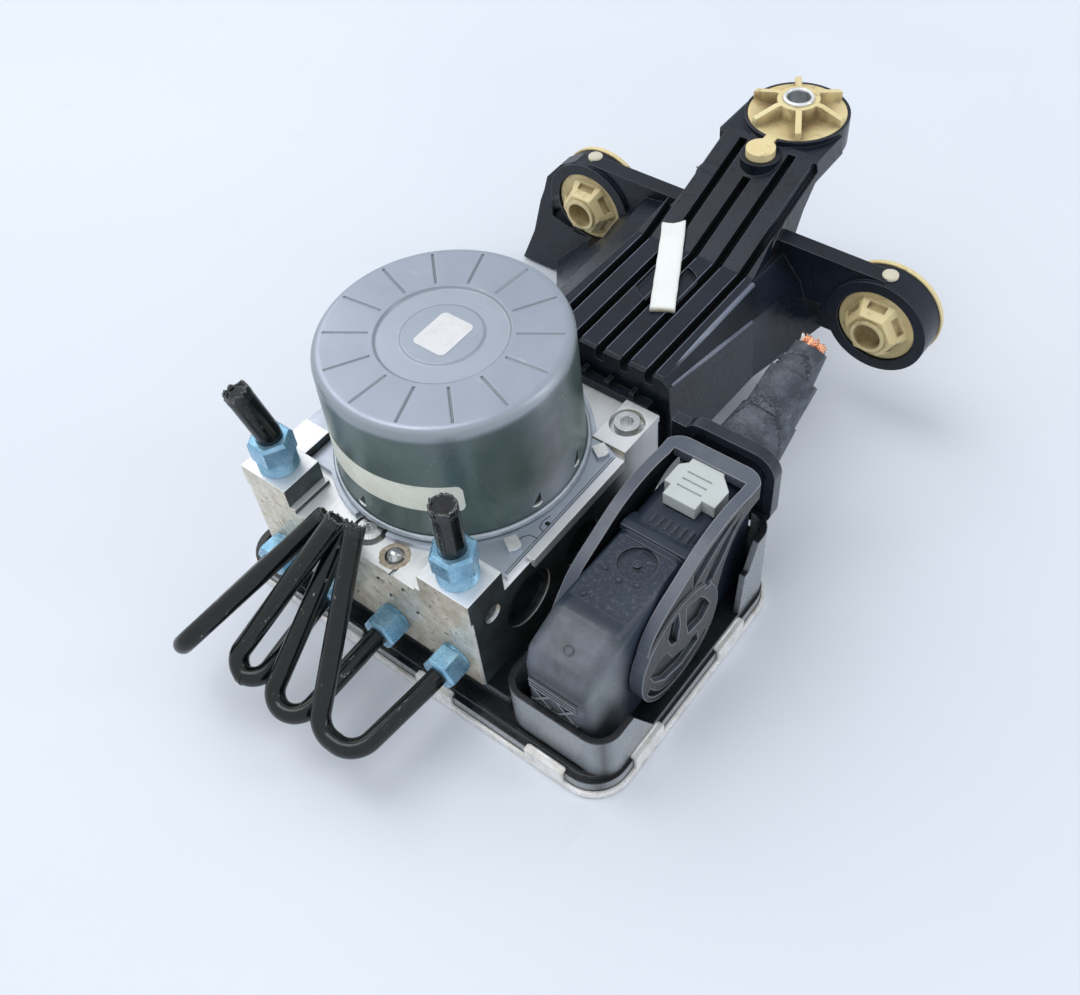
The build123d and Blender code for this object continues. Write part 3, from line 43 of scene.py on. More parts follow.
# places of the colour sockets on a Mix node
COLOUR_A, COLOUR_B, COLOUR_OUT = 6, 7, 2
BEVEL_SAMPLES = 6
PLASTIC_IOR = 1.5
RECESS_SHADE = (0.001, 0.001, 0.002)  # painted shade: near-black colour laid into the bottom of dark plastic recesses


# ---------------------------------------------------------------- node helpers
class Shader:
    """A small wrapper round one material's node tree, in metres of object space."""

    def __init__(self, name, **sockets):
        self.material = bpy.data.materials.new(name)
        self.material.use_nodes = True
        self.tree = self.material.node_tree
        self.surface = self.tree.nodes["Principled BSDF"]
        for socket, value in sockets.items():
            self.surface.inputs[socket.replace("_", " ")].default_value = value
        self.place = self.add("ShaderNodeTexCoord").outputs["Object"]

    def add(self, kind, **settings):
        node = self.tree.nodes.new(kind)
        for key, value in settings.items():
            setattr(node, key, value)
        return node

    def link(self, source, target):
        self.tree.links.new(source, target)

    def noise(self, scale, detail=4.0, rough=0.6, stretch=(1, 1, 1), distortion=0.0):
        """Noise value over object space; scale is in features per metre."""
        vector = self.place
        if stretch != (1, 1, 1):
            mapping = self.add("ShaderNodeMapping")
            mapping.inputs["Scale"].default_value = stretch
            self.link(self.place, mapping.inputs["Vector"])
            vector = mapping.outputs["Vector"]
        node = self.add("ShaderNodeTexNoise")
        node.inputs["Scale"].default_value = scale
        node.inputs["Detail"].default_value = detail
        node.inputs["Roughness"].default_value = rough
        node.inputs["Distortion"].default_value = distortion
        self.link(vector, node.inputs["Vector"])
        return node.outputs["Fac"]

    def ramp(self, value, low=0.3, high=0.7, first=0.0, last=1.0):
        """Value remapped from low..high to first..last and clamped."""
        node = self.add("ShaderNodeMapRange", clamp=True)
        node.inputs["From Min"].default_value = low
        node.inputs["From Max"].default_value = high
        node.inputs["To Min"].default_value = first
        node.inputs["To Max"].default_value = last
        self.link(value, node.inputs["Value"])
        return node.outputs["Result"]

    def math(self, operation, a, b):
        """Clamped result of two numbers or sockets."""
        node = self.add("ShaderNodeMath", operation=operation, use_clamp=True)
        for socket, value in zip(node.inputs, (a, b)):
            if isinstance(value, (int, float)):
                socket.default_value = value
            else:
                self.link(value, socket)
        return node.outputs["Value"]

    def times(self, a, b):
        return self.math("MULTIPLY", a, b)

    def most(self, a, b):
        return self.math("MAXIMUM", a, b)

    def mix(self, factor, first, second):
        """Colour mixed by factor; first and second are colours or sockets."""
        node = self.add("ShaderNodeMix", data_type="RGBA")
        for socket, value in ((node.inputs[COLOUR_A], first), (node.inputs[COLOUR_B], second)):
            if isinstance(value, (tuple, list)):
                socket.default_value = (*value, 1.0)
            else:
                self.link(value, socket)
        self.link(factor, node.inputs["Factor"])
        return node.outputs[COLOUR_OUT]

    def facing(self, direction):
        """How far the surface faces a direction of object space, from 0 to 1."""
        geometry = self.add("ShaderNodeNewGeometry")
        return self.dot(geometry.outputs["Normal"], direction, 0.6, 0.95)

    def edges(self, radius=0.0004, low=0.02, high=0.30):
        """How near a point is to a sharp edge, from 0 to 1, from the bevelled and the true normal."""
        geometry = self.add("ShaderNodeNewGeometry")
        return self.dot(self.bevelled(radius), geometry.outputs["True Normal"], 1 - low, 1 - high)

    def dot(self, vector, other, low, high):
        """Dot product of a socket with a socket or a direction, remapped from low..high to 0..1."""
        node = self.add("ShaderNodeVectorMath", operation="DOT_PRODUCT")
        self.link(vector, node.inputs[0])
        if isinstance(other, tuple):
            node.inputs[1].default_value = other
        else:
            self.link(other, node.inputs[1])
        return self.ramp(node.outputs["Value"], low, high)

    def bevelled(self, radius):
        node = self.add("ShaderNodeBevel", samples=BEVEL_SAMPLES)
        node.inputs["Radius"].default_value = radius
        return node.outputs["Normal"]

    def openness(self, distance):
        """How open a point is to its surroundings within a distance: 0 in a narrow recess, 1 in the open."""
        node = self.add("ShaderNodeAmbientOcclusion", samples=BEVEL_SAMPLES, only_local=True)
        node.inputs["Distance"].default_value = distance
        return node.outputs["AO"]

    def recess_roughness(self, low, high, distance=0.008):
        """Roughness from low to high over the surface, and fully rough deep in recesses."""
        even = self.ramp(self.noise(420), first=low, last=high)
        return self.most(even, self.ramp(self.openness(distance), 0.75, 0.30, 0.0, 0.95))

    def band(self, axis, low, high, soft=0.0006):
        """1 where a coordinate lies between low and high, in metres, with soft ends."""
        value = self.coordinate(axis)
        rising = self.ramp(value, low - soft, low + soft)
        falling = self.ramp(value, high + soft, high - soft)
        return self.times(rising, falling)

    def coordinate(self, axis):
        """One coordinate of object space, in metres."""
        split = self.add("ShaderNodeSeparateXYZ")
        self.link(self.place, split.inputs["Vector"])
        return split.outputs[axis]

    def colour(self, source):
        self.link(source, self.surface.inputs["Base Color"])

    def roughness(self, source):
        self.link(source, self.surface.inputs["Roughness"])

    def bump(self, height, strength=0.3, distance=0.0003, soften=0.0):
        """Bump from a height; soften rounds hard edges by that radius in metres."""
        node = self.add("ShaderNodeBump")
        node.inputs["Strength"].default_value = strength
        node.inputs["Distance"].default_value = distance
        self.link(height, node.inputs["Height"])
        if soften:
            self.link(self.bevelled(soften), node.inputs["Normal"])
        self.link(node.outputs["Normal"], self.surface.inputs["Normal"])


# ---------------------------------------------------------------- materials
def machined_aluminium():
    """Machined block: scratched, stained and specked in front and on the left, with painted shade and a
    painted dark reflection on its right.
    """
    s = Shader("machined_aluminium", Metallic=0.5)
    bright, grey, scratched = (0.98, 0.99, 1.0), (0.82, 0.84, 0.85), (0.98, 0.98, 0.98)
    cream, brown, rust = (0.92, 0.87, 0.74), (0.62, 0.54, 0.40), (0.20, 0.12, 0.06)
    # tones of the painted shade on the right face
    right_shade_dark, right_shade_pale = (0.010, 0.016, 0.016), (0.05, 0.09, 0.10)
    streaks = s.noise(900, 3, 0.6, (1, 0.06, 1))
    metal = s.mix(s.ramp(s.noise(60, 5), 0.35, 0.7), bright, grey)
    scratches = s.ramp(s.noise(1300, 2, 0.5, (0.05, 1, 1), 0.6), 0.63, 0.70)
    metal = s.mix(s.times(scratches, 0.5), metal, scratched)
    weathered = s.most(s.facing(FRONT), s.facing(LEFT))
    stain = s.mix(s.ramp(s.noise(160, 6, 0.7), 0.35, 0.62), cream, brown)
    metal = s.mix(s.times(weathered, s.ramp(s.noise(45), 0.25, 0.5, 0.5, 1.0)), metal, stain)
    specked = s.times(weathered, s.ramp(s.noise(70, 3), 0.42, 0.55))
    metal = s.mix(s.times(s.ramp(s.noise(480, 3), 0.60, 0.66), specked), metal, rust)
    # painted shade: the right face, more towards the front, is darkened as if in shadow and reflecting the
    # dark housing
    right_shade = s.times(s.facing(RIGHT), s.ramp(s.coordinate("Y"), 0.030, 0.018, 0.0, 0.93))
    dark = s.mix(s.ramp(s.noise(90), 0.4, 0.7), right_shade_dark, right_shade_pale)
    s.colour(s.mix(right_shade, metal, dark))
    s.roughness(s.ramp(streaks, first=0.30, last=0.48))
    s.bump(streaks, 0.18, 0.0001, 0.0004)
    return s.material


def sheet_aluminium():
    """Pressed cover: pale, satin, with soiled patches."""
    s = Shader("sheet_aluminium", Metallic=0.35)
    clean, soiled = (0.97, 0.95, 0.93), (0.60, 0.56, 0.47)
    scuff = s.noise(220, 5, 0.65)
    s.colour(s.mix(s.ramp(scuff, 0.42, 0.75), clean, soiled))
    s.roughness(s.ramp(scuff, first=0.25, last=0.42))
    s.bump(scuff, 0.15, 0.0002, 0.0005)
    return s.material


def painted_can():
    """Coated motor can: green-grey cloudy wall, blue-grey top painted paler as painted light, a painted
    highlight stripe on the wall, creases painted lighter against their shade, bright shoulder, fine
    scratches.
    """
    s = Shader("painted_can", Metallic=0.45)
    wall_dark, wall_pale, wall_blue = (0.075, 0.140, 0.115), (0.165, 0.220, 0.200), (0.165, 0.185, 0.230)
    lit_top_dark, lit_top_pale = (0.290, 0.335, 0.415), (0.365, 0.415, 0.490)
    highlight_grey, crease_fill_light = (0.42, 0.44, 0.48), (0.45, 0.50, 0.58)
    shoulder_blue, scratched = (0.52, 0.57, 0.64), (0.70, 0.73, 0.75)
    cloud = s.noise(38, 6, 0.7, distortion=0.8)
    wall = s.mix(s.ramp(cloud), wall_dark, wall_pale)
    wall = s.mix(s.times(s.ramp(s.noise(22, 5), 0.38, 0.62), 0.55), wall, wall_blue)
    # painted highlight: a pale vertical stripe on the wall's right side
    highlight_stripe = s.times(s.band("Y", -0.008, 0.008, 0.007), s.ramp(s.coordinate("X"), 0.036, 0.039))
    wall = s.mix(s.times(highlight_stripe, s.ramp(s.noise(50), 0.25, 0.6, 0.4, 0.9)), wall, highlight_grey)
    # painted light: the top is painted paler than the wall, as if lit from above
    top = s.mix(s.ramp(s.noise(30, distortion=0.3)), lit_top_dark, lit_top_pale)
    can = s.mix(s.facing(UP), wall, top)
    # painted light: down-facing faces in a thin band just under the top are painted paler against the
    # creases' shade
    can = s.mix(s.times(s.band("Z", 0.0952, 0.0961, 0.0001), s.facing(DOWN)), can, crease_fill_light)
    can = s.mix(s.times(s.band("Z", 0.0925, 0.0962, 0.0007), 0.45), can, shoulder_blue)
    scratches = s.ramp(s.noise(900, 2, 0.5, (0.06, 1, 1), 0.4), 0.68, 0.74)
    scratches = s.times(scratches, s.ramp(s.noise(60, 3, 0.5), 0.5, 0.65))
    s.colour(s.mix(s.times(scratches, 0.45), can, scratched))
    s.roughness(s.ramp(cloud, first=0.26, last=0.44))
    s.bump(s.noise(130), 0.12, 0.0005, 0.0005)
    return s.material


def plated_steel(name, light, dark, low=0.22, high=0.42, metallic=0.9, scale=260):
    """Plated steel with a slightly uneven coat, brighter along its edges: wear with painted highlights."""
    s = Shader(name, Metallic=metallic)
    coat = s.mix(s.ramp(s.noise(scale, 5), 0.35, 0.65), light, dark)
    edge_wear_and_highlight = tuple(min(1.0, 1.6 * part + 0.1) for part in light)
    # edges made brighter: wear with painted highlights
    s.colour(s.mix(s.times(s.edges(0.0003), 0.5), coat, edge_wear_and_highlight))
    s.roughness(s.ramp(s.noise(900, 3), first=low, last=high))
    s.bump(s.noise(1600, 2, 0.5), 0.12, 0.0001, 0.0003)
    return s.material


def pressed_flange():
    """Blue-grey pressed flange, with a painted highlight along its folded right edge."""
    s = Shader("plated_flange", Metallic=0.7)
    pale, deep, bright = (0.56, 0.61, 0.70), (0.46, 0.51, 0.58), (0.95, 0.95, 0.97)
    patch = s.noise(90, 5)
    # painted highlight along the folded right edge
    fold_highlight = s.ramp(s.coordinate("X"), 0.0452, 0.0455)
    s.colour(s.mix(fold_highlight, s.mix(s.ramp(patch, 0.35, 0.65), pale, deep), bright))
    s.roughness(s.ramp(patch, first=0.32, last=0.5))
    s.bump(s.noise(500, 3), 0.12, 0.0002, 0.0003)
    return s.material


def moulded_plastic(name, base, tint, low=0.22, high=0.38, dust_and_sheen=None, edge_wear_and_highlight=None, recess=0.0, grain=1500,
                    depth=0.10, shine=0.5):
    """Moulded plastic. Its front and right walls can take a pale colour, dust with a painted sheen; its edges
    a paler colour, wear with painted highlights; its recesses go darker, a painted shade.
    """
    s = Shader(name, IOR=PLASTIC_IOR, Specular_IOR_Level=shine)
    colour = s.mix(s.ramp(s.noise(70, 5)), base, tint)
    if dust_and_sheen:
        # pale front and right walls: dust with a painted sheen, kept off the recesses
        upright = s.most(s.facing(FRONT), s.facing(RIGHT))
        colour = s.mix(s.times(upright, s.ramp(s.openness(0.012), 0.55, 0.95)), colour, dust_and_sheen)
    if edge_wear_and_highlight:
        # paler edges: wear with painted highlights
        amount = s.times(s.edges(), s.ramp(s.noise(120), 0.30, 0.55, 0.35, 1.0))
        colour = s.mix(amount, colour, edge_wear_and_highlight)
    if recess:
        # painted shade: recesses darkened towards near-black
        colour = s.mix(s.ramp(s.openness(recess), 0.75, 0.25), colour, RECESS_SHADE)
    s.colour(colour)
    s.roughness(s.recess_roughness(low, high))
    s.bump(s.noise(grain, 3), depth, 0.0002, 0.0006)
    return s.material


def hood_plastic():
    """Plug hood: blue-black, with a dusty olive-blue nose, painted shade under it, a pale right flank of dust
    with a painted sheen, a mottled field on top, painted highlights on its edges and painted shade in its
    recesses.
    """
    s = Shader("hood_plastic", IOR=PLASTIC_IOR)
    blue_black, blue = (0.012, 0.022, 0.040), (0.030, 0.042, 0.066)
    olive, violet = (0.075, 0.092, 0.090), (0.140, 0.150, 0.190)
    under_nose_shade, flank_dust_and_sheen, fleck = (0.030, 0.040, 0.048), (0.20, 0.22, 0.235), (0.075, 0.085, 0.115)
    strip_grey, edge_highlight_grey = (0.42, 0.44, 0.46), (0.26, 0.29, 0.32)
    field = s.mix(s.ramp(s.noise(60, 5)), blue_black, blue)
    nose = s.mix(s.ramp(s.noise(110, 5, 0.7), 0.35, 0.65), olive, violet)
    skin = s.mix(s.ramp(s.coordinate("Y"), -0.0325, -0.0375), field, nose)
    # painted shade on the front faces under the nose
    skin = s.mix(s.times(s.facing(FRONT), s.band("Z", 0.037, 0.044, 0.002)), skin, under_nose_shade)
    # pale right flank: dust with a painted sheen
    flank = s.times(s.facing(RIGHT), s.band("Z", 0.028, 0.048, 0.005))
    skin = s.mix(s.times(flank, s.ramp(s.coordinate("Y"), -0.030, -0.045)), skin, flank_dust_and_sheen)
    mottle = s.times(s.band("Y", -0.0300, -0.0050), s.ramp(s.noise(700, 4, 0.7), 0.52, 0.66))
    skin = s.mix(s.times(mottle, s.facing(UP)), skin, fleck)
    strip = s.times(s.ramp(s.coordinate("Y"), -0.0521, -0.0523), s.band("Z", 0.024, 0.0385, 0.0003))
    skin = s.mix(s.times(strip, 0.8), skin, strip_grey)
    # painted highlights along the edges
    skin = s.mix(s.times(s.edges(0.0005, 0.01, 0.2), 0.75), skin, edge_highlight_grey)
    # painted shade: recesses darkened towards near-black
    s.colour(s.mix(s.ramp(s.openness(0.006), 0.7, 0.2), skin, RECESS_SHADE))
    s.roughness(s.recess_roughness(0.28, 0.42))
    s.bump(s.noise(900, 4, 0.65), 0.16, 0.0003, 0.0008)
    return s.material


def lever_plastic():
    """Lever: satin blue-grey ribbon on top as a painted reflection, near-black cheeks with pale rims as
    painted highlights, painted shade in its recesses.
    """
    s = Shader("lever_plastic", IOR=PLASTIC_IOR)
    ribbon_reflection_dark, ribbon_reflection_pale = (0.085, 0.098, 0.135), (0.120, 0.140, 0.170)
    cheek_black, rim_highlight = (0.005, 0.006, 0.008), (0.42, 0.43, 0.45)
    # painted reflection: the top ribbon is painted blue-grey, while the cheeks keep the near-black plastic
    ribbon_reflection = s.mix(s.ramp(s.noise(70, 5)), ribbon_reflection_dark, ribbon_reflection_pale)
    colour = s.mix(s.most(s.facing(RIGHT), s.facing(LEFT)), ribbon_reflection, cheek_black)
    # painted highlights along the rims
    colour = s.mix(s.times(s.edges(0.0007, 0.01, 0.15), 0.95), colour, rim_highlight)
    # painted shade: recesses darkened towards near-black
    s.colour(s.mix(s.ramp(s.openness(0.004), 0.7, 0.3), colour, RECESS_SHADE))
    s.roughness(s.recess_roughness(0.26, 0.40, 0.005))
    s.bump(s.noise(1500, 3), 0.12, 0.0002, 0.0006)
    return s.material


def glossy_coating():
    """Black pipe coating: glossy, with pale scuffs along it."""
    s = Shader("glossy_coating", IOR=PLASTIC_IOR)
    black, scuffed = (0.004, 0.006, 0.006), (0.45, 0.45, 0.43)
    scuff = s.ramp(s.noise(700, 4, 0.7, (1, 0.30, 0.6)), 0.64, 0.70)
    s.colour(s.mix(s.times(scuff, s.ramp(s.noise(50, 3, 0.5), 0.45, 0.6)), black, scuffed))
    s.roughness(s.ramp(s.noise(500), first=0.10, last=0.26))
    s.bump(s.noise(500, 3), 0.14, 0.0003)
    return s.material


def aged_nylon(name, light, deep, grime):
    """Beige bush plastic with brown grime in its hollows and on some faces."""
    s = Shader(name, IOR=PLASTIC_IOR, Subsurface_Weight=0.12, Subsurface_Scale=0.003)
    brown, soot, edge_wear_and_highlight = (0.26, 0.17, 0.07), (0.16, 0.09, 0.035), (0.95, 0.86, 0.58)
    stain = s.noise(120, 6, 0.7)
    colour = s.mix(s.ramp(s.noise(50, 3, 0.5)), light, deep)
    colour = s.mix(s.times(s.ramp(stain, 0.55, 0.70), grime), colour, brown)
    hollows = s.times(s.ramp(s.openness(0.010), 0.95, 0.55), grime)
    colour = s.mix(s.times(hollows, s.ramp(s.noise(80), 0.35, 0.6, 0.35, 1.0)), colour, soot)
    # paler edges: wear with painted highlights
    s.colour(s.mix(s.times(s.edges(), 0.35), colour, edge_wear_and_highlight))
    s.roughness(s.ramp(stain, first=0.34, last=0.5))
    s.bump(s.noise(700, 3), 0.12, 0.0003, 0.0006)
    return s.material


def cloth_tape():
    """Black tape in overlapping turns round the harness: blue-grey sheen, wrinkles and pale wear."""
    s = Shader("cloth_tape", IOR=1.45)
    dark, pale = (0.045, 0.054, 0.070), (0.150, 0.172, 0.205)
    lap_black, scar_grey = (0.010, 0.011, 0.014), (0.34, 0.36, 0.39)
    wear = s.noise(150, 6, 0.7)
    turn = s.add("ShaderNodeMapping")
    turn.inputs["Rotation"].default_value = (radians(34), 0, 0)
    s.link(s.place, turn.inputs["Vector"])
    wraps = s.add("ShaderNodeTexWave", wave_type="BANDS", bands_direction="Y", wave_profile="SAW")
    wraps.inputs["Scale"].default_value = 34.0
    wraps.inputs["Distortion"].default_value = 1.3
    wraps.inputs["Detail Scale"].default_value = 30.0
    s.link(turn.outputs["Vector"], wraps.inputs["Vector"])
    lap = wraps.outputs["Fac"]
    colour = s.mix(s.ramp(wear, 0.42, 0.72), dark, pale)
    colour = s.mix(s.ramp(lap, 0.10, 0.0), colour, lap_black)
    scars = s.times(s.ramp(s.noise(520, 4, 0.6, (1, 0.3, 1)), 0.66, 0.72), 0.6)
    s.colour(s.mix(scars, colour, scar_grey))
    s.roughness(s.ramp(wear, first=0.34, last=0.55))
    wrinkles = s.times(s.noise(200, 5, 0.7), 0.4)
    s.bump(s.math("ADD", s.times(lap, 0.6), wrinkles), 0.7, 0.0014)
    return s.material


def bare_copper():
    """Cut copper wire, bright in places."""
    s = Shader("bare_copper", Metallic=0.85)
    tone = s.noise(900, 3, 0.5)
    s.colour(s.mix(s.ramp(tone), (0.92, 0.30, 0.14), (1.0, 0.62, 0.42)))
    s.roughness(s.ramp(tone, first=0.2, last=0.4))
    return s.material


def soft_foam():
    """White closed-cell foam with cream cut ends."""
    s = Shader("soft_foam")
    white, grey, cream = (0.93, 0.95, 0.92), (0.86, 0.88, 0.84), (0.80, 0.72, 0.50)
    cells = s.noise(1100, 3)
    ends = s.most(s.facing((0.48, -0.88, 0)), s.facing((-0.48, 0.88, 0)))
    s.colour(s.mix(ends, s.mix(s.ramp(s.noise(60), 0.3, 0.8), white, grey), cream))
    s.roughness(s.ramp(cells, first=0.75, last=0.95))
    s.bump(cells, 0.3, 0.0004, 0.0008)
    return s.material


def plain_label(name, colour, soiled):
    """Bare printed-paper label, a little soiled."""
    s = Shader(name)
    soil = s.noise(240, 5, 0.65)
    s.colour(s.mix(s.ramp(soil, 0.45, 0.8), colour, soiled))
    s.roughness(s.ramp(soil, first=0.35, last=0.5))
    s.bump(soil, 0.05, 0.0001)
    return s.material


def stained_recess():
    """Old brown sealing grease round a plugged drilling."""
    s = Shader("stained_recess")
    grease = s.noise(420, 5, 0.7)
    s.colour(s.mix(s.ramp(grease, 0.35, 0.65), (0.30, 0.22, 0.13), (0.62, 0.56, 0.46)))
    s.roughness(s.ramp(grease, first=0.4, last=0.7))
    s.bump(grease, 0.3, 0.0003)
    return s.material


ALUMINIUM = machined_aluminium()
COVER = sheet_aluminium()
CAN = painted_can()
FLANGE = pressed_flange()
ZINC = plated_steel("blue_zinc", (0.36, 0.62, 0.82), (0.20, 0.42, 0.60), 0.2, 0.36, 0.6, 200)
STEEL = plated_steel("bright_steel", (0.80, 0.82, 0.83), (0.62, 0.64, 0.64))
# painted shade: near-black steel for the plugs and caps on the block's shaded right face, with painted
# highlights on their edges
SHADED_STEEL = plated_steel("shaded_steel", (0.050, 0.070, 0.075), (0.018, 0.024, 0.026), 0.3, 0.5, 0.5)
# housing: pale front and right walls of dust with a painted sheen, edges of wear with painted highlights,
# recesses in painted shade
BLACK = moulded_plastic("black_plastic", (0.004, 0.005, 0.007), (0.010, 0.012, 0.016), 0.20, 0.34,
                        (0.260, 0.280, 0.300), (0.12, 0.13, 0.15), 0.010)
# bracket: pale edges are painted highlights along the grooves, with wear; recesses in painted shade
BRACKET = moulded_plastic("bracket_plastic", (0.004, 0.007, 0.012), (0.008, 0.014, 0.028), 0.24, 0.40,
                          None, (0.20, 0.22, 0.26), 0.006, 900, 0.18, 0.36)
# collar: pale edges are painted highlights, with wear
GLOSS = moulded_plastic("gloss_plastic", (0.012, 0.017, 0.026), (0.024, 0.032, 0.046), 0.10, 0.20, None,
                        (0.34, 0.38, 0.42))
HOOD = hood_plastic()
LEVER = lever_plastic()
LOCK = moulded_plastic("lock_plastic", (0.62, 0.66, 0.66), (0.56, 0.60, 0.58), 0.30, 0.44)
COATING = glossy_coating()
NYLON = aged_nylon("aged_nylon", (0.90, 0.77, 0.43), (0.78, 0.62, 0.30), 0.85)
DOT = aged_nylon("pale_nylon", (0.78, 0.74, 0.60), (0.68, 0.64, 0.50), 0.3)
TAPE = cloth_tape()
COPPER = bare_copper()
FOAM = soft_foam()
LABEL = plain_label("white_label", (0.76, 0.77, 0.78), (0.66, 0.66, 0.64))
BAND = plain_label("cream_label", (0.93, 0.94, 0.83), (0.80, 0.80, 0.66))
BOARD = moulded_plastic("board", (0.03, 0.12, 0.05), (0.05, 0.16, 0.07))
STAIN = stained_recess()
TORN = moulded_plastic("torn_rubber", (0.005, 0.006, 0.007), (0.030, 0.032, 0.034), 0.2, 0.4, None,
                       (0.60, 0.61, 0.60))
BRIGHT = plated_steel("bright_burr", (0.92, 0.93, 0.93), (0.80, 0.80, 0.78), 0.25, 0.4, 0.5)
# painted highlight: pale plastic for the bracket's ridges and groove edges
RIDGE_HIGHLIGHT = moulded_plastic("ridge_highlight_plastic", (0.14, 0.16, 0.22), (0.24, 0.27, 0.34), 0.12, 0.24)
RING = plated_steel("pale_ring", (0.62, 0.68, 0.74), (0.48, 0.54, 0.60), 0.28, 0.42, 0.5)
# painted shade: near-black for pipe bores, stake notches and flange creases
SHADE_PLASTIC = moulded_plastic("shade_plastic", (0.004, 0.004, 0.005), (0.008, 0.008, 0.009), 0.5, 0.7)

FINISHES = (
    (ALUMINIUM, ("hcu_block",)),
    (COVER, ("ecu_cover",)),
    (CAN, ("motor_can",)),
    (FLANGE, ("motor_flange",)),
    (BLACK, ("ecu_housing", "brush_holder", "motor_magnets", "brushes")),
    (BRACKET, ("mounting_bracket",)),
    (ZINC, ("wheel_nuts", "inlet_nuts")),
    (SHADED_STEEL, ("pump_plugs", "accumulator_caps")),
    (HOOD, ("plug_hood",)),
    (LEVER, ("plug_lever",)),
    (LOCK, ("lever_lock",)),
    (GLOSS, ("plug_collar",)),
    (NYLON, ("top_bush", "side_bush_left", "side_bush_right")),
    (TAPE, ("harness_stub",)),
    (COPPER, ("copper_strands", "commutator", "connector_pins")),
    (FOAM, ("foam_strip",)),
    (LABEL, ("motor_label_top",)),
    (BOARD, ("circuit_board",)),
    (COATING, ("inlet_pipe_left", "inlet_pipe_right")),
    (COATING, ("wheel_pipe_1", "wheel_pipe_2", "wheel_pipe_3", "wheel_pipe_4")),
)
finish_of = {name: material for material, names in FINISHES for name in names}
for name, node in nodes.items():
    node.data.materials.clear()
    node.data.materials.append(finish_of.get(name, STEEL))


# ---------------------------------------------------------------- small pieces, in millimetres
class Shape:
    """Faces gathered in millimetres, then made into one piece of the object."""

    def __init__(self):
        self.vertices = []
        self.faces = []

    def ring(self, points):
        """Adds a closed row of points and gives their numbers."""
        first = len(self.vertices)
        self.vertices += [tuple(point) for point in points]
        return list(range(first, len(self.vertices)))

    def bridge(self, one, two):
        """Joins two rows of points with a belt of quads."""
        count = len(one)
        for i in range(count):
            self.faces.append((one[i], one[(i + 1) % count], two[(i + 1) % count], two[i]))

    def skin(self, rows, capped=False):
        """Joins each row to the next, and closes both ends if capped."""
        for one, two in zip(rows, rows[1:]):
            self.bridge(one, two)
        if capped:
            self.faces += [tuple(reversed(rows[0])), tuple(rows[-1])]

    def revolve(self, profile, origin, axis=UP, segments=36, jag=None):
        """Turns a profile of (radius, height) about an axis; jag moves each point by (radius, height)."""
        along = Vector(axis).normalized()
        side = along.orthogonal().normalized()
        other = along.cross(side)
        rows = []
        for step, (radius, height) in enumerate(profile):
            row = []
            for i in range(segments):
                turn = 2 * pi * i / segments
                more, up = jag(i, step) if jag else (0, 0)
                out = side * cos(turn) + other * sin(turn)
                row.append(Vector(origin) + out * (radius + more) + along * (height + up))
            rows.append(self.ring(row))
        self.skin(rows)
        return rows

    def tube(self, points, radius, sides=8):
        """A round bead through points, closed at both ends; radius is one number or one for each point."""
        points = [Vector(point) for point in points]
        rows = []
        for i, point in enumerate(points):
            along = (points[min(i + 1, len(points) - 1)] - points[max(i - 1, 0)]).normalized()
            side = along.cross(Vector(UP))
            side = side.normalized() if side.length > 0.01 else Vector(RIGHT)
            other = side.cross(along)
            reach = radius[i] if isinstance(radius, (list, tuple)) else radius
            turns = [2 * pi * k / sides for k in range(sides)]
            rows.append(self.ring([point + (side * cos(t) + other * sin(t)) * reach for t in turns]))
        self.skin(rows, capped=True)

    def slab(self, outline, low, high):
        """A flat plate from an outline in X and Y."""
        bottom = self.ring([(x, y, low) for x, y in outline])
        top = self.ring([(x, y, high) for x, y in outline])
        self.skin([bottom, top], capped=True)

    def finish(self, name, material, body="module", smooth=True):
        """Makes the piece and sets it on its body."""
        mesh = bpy.data.meshes.new(name)
        mesh.from_pydata([tuple(c * MM for c in v) for v in self.vertices], [], self.faces)
        shape = bmesh.new()
        shape.from_mesh(mesh)
        bmesh.ops.recalc_face_normals(shape, faces=shape.faces)
        shape.to_mesh(mesh)
        shape.free()
        for polygon in mesh.polygons:
            polygon.use_smooth = smooth
        mesh.materials.append(material)
        piece = bpy.data.objects.new(name, mesh)
        bpy.context.scene.collection.objects.link(piece)
        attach(piece, body)
        return piece


def spread(seed, low, high):
    """A repeatable number between low and high for a seed."""
    value = noise.noise(Vector((seed * 1.37 + 0.31, seed * 0.73 + 4.1, seed * 0.21)))
    return low + (high - low) * min(1.0, max(0.0, value * 1.1 + 0.5))


def can_wall(angle, height, proud):
    """A point on the motor can's tapered wall, at an angle in degrees and a height in millimetres."""
    foot_radius, foot_height, wall_height, taper = 40.2, 51.1, 45.3, 1.1
    radius = foot_radius - (height - foot_height) / wall_height * taper + proud
    return (radius * cos(radians(angle)), radius * sin(radians(angle)), height)


def inlet_threads():
    """Thread showing between the block and both inlet nuts."""
    root, crest, pitch, turns = 6.05, 6.5, 0.9, 6
    low, port_x, port_y = 56.52, 37.0, -44.3
    shape = Shape()
    for x in (-port_x, port_x):
        profile = []
        for step in range(turns):
            profile += [(root, low + pitch * step), (crest, low + pitch / 2 + pitch * step)]
        shape.revolve(profile + [(root, low + pitch * turns)], (x, port_y, 0))
    shape.finish("inlet_threads", ZINC, smooth=False)


def wheel_threads():
    """Thread showing behind each wheel nut."""
    root, crest, face_y, port_z = 5.05, 5.5, -51.92, 22.0
    profile = [(root, 0.0), (crest, 0.35), (root, 0.75), (crest, 1.1), (root, 1.48)]
    shape = Shape()
    for x in (-36.8, -12.0, 12.0, 36.8):
        shape.revolve(profile, (x, face_y, port_z), FRONT)
    shape.finish("wheel_threads", ZINC, smooth=False)


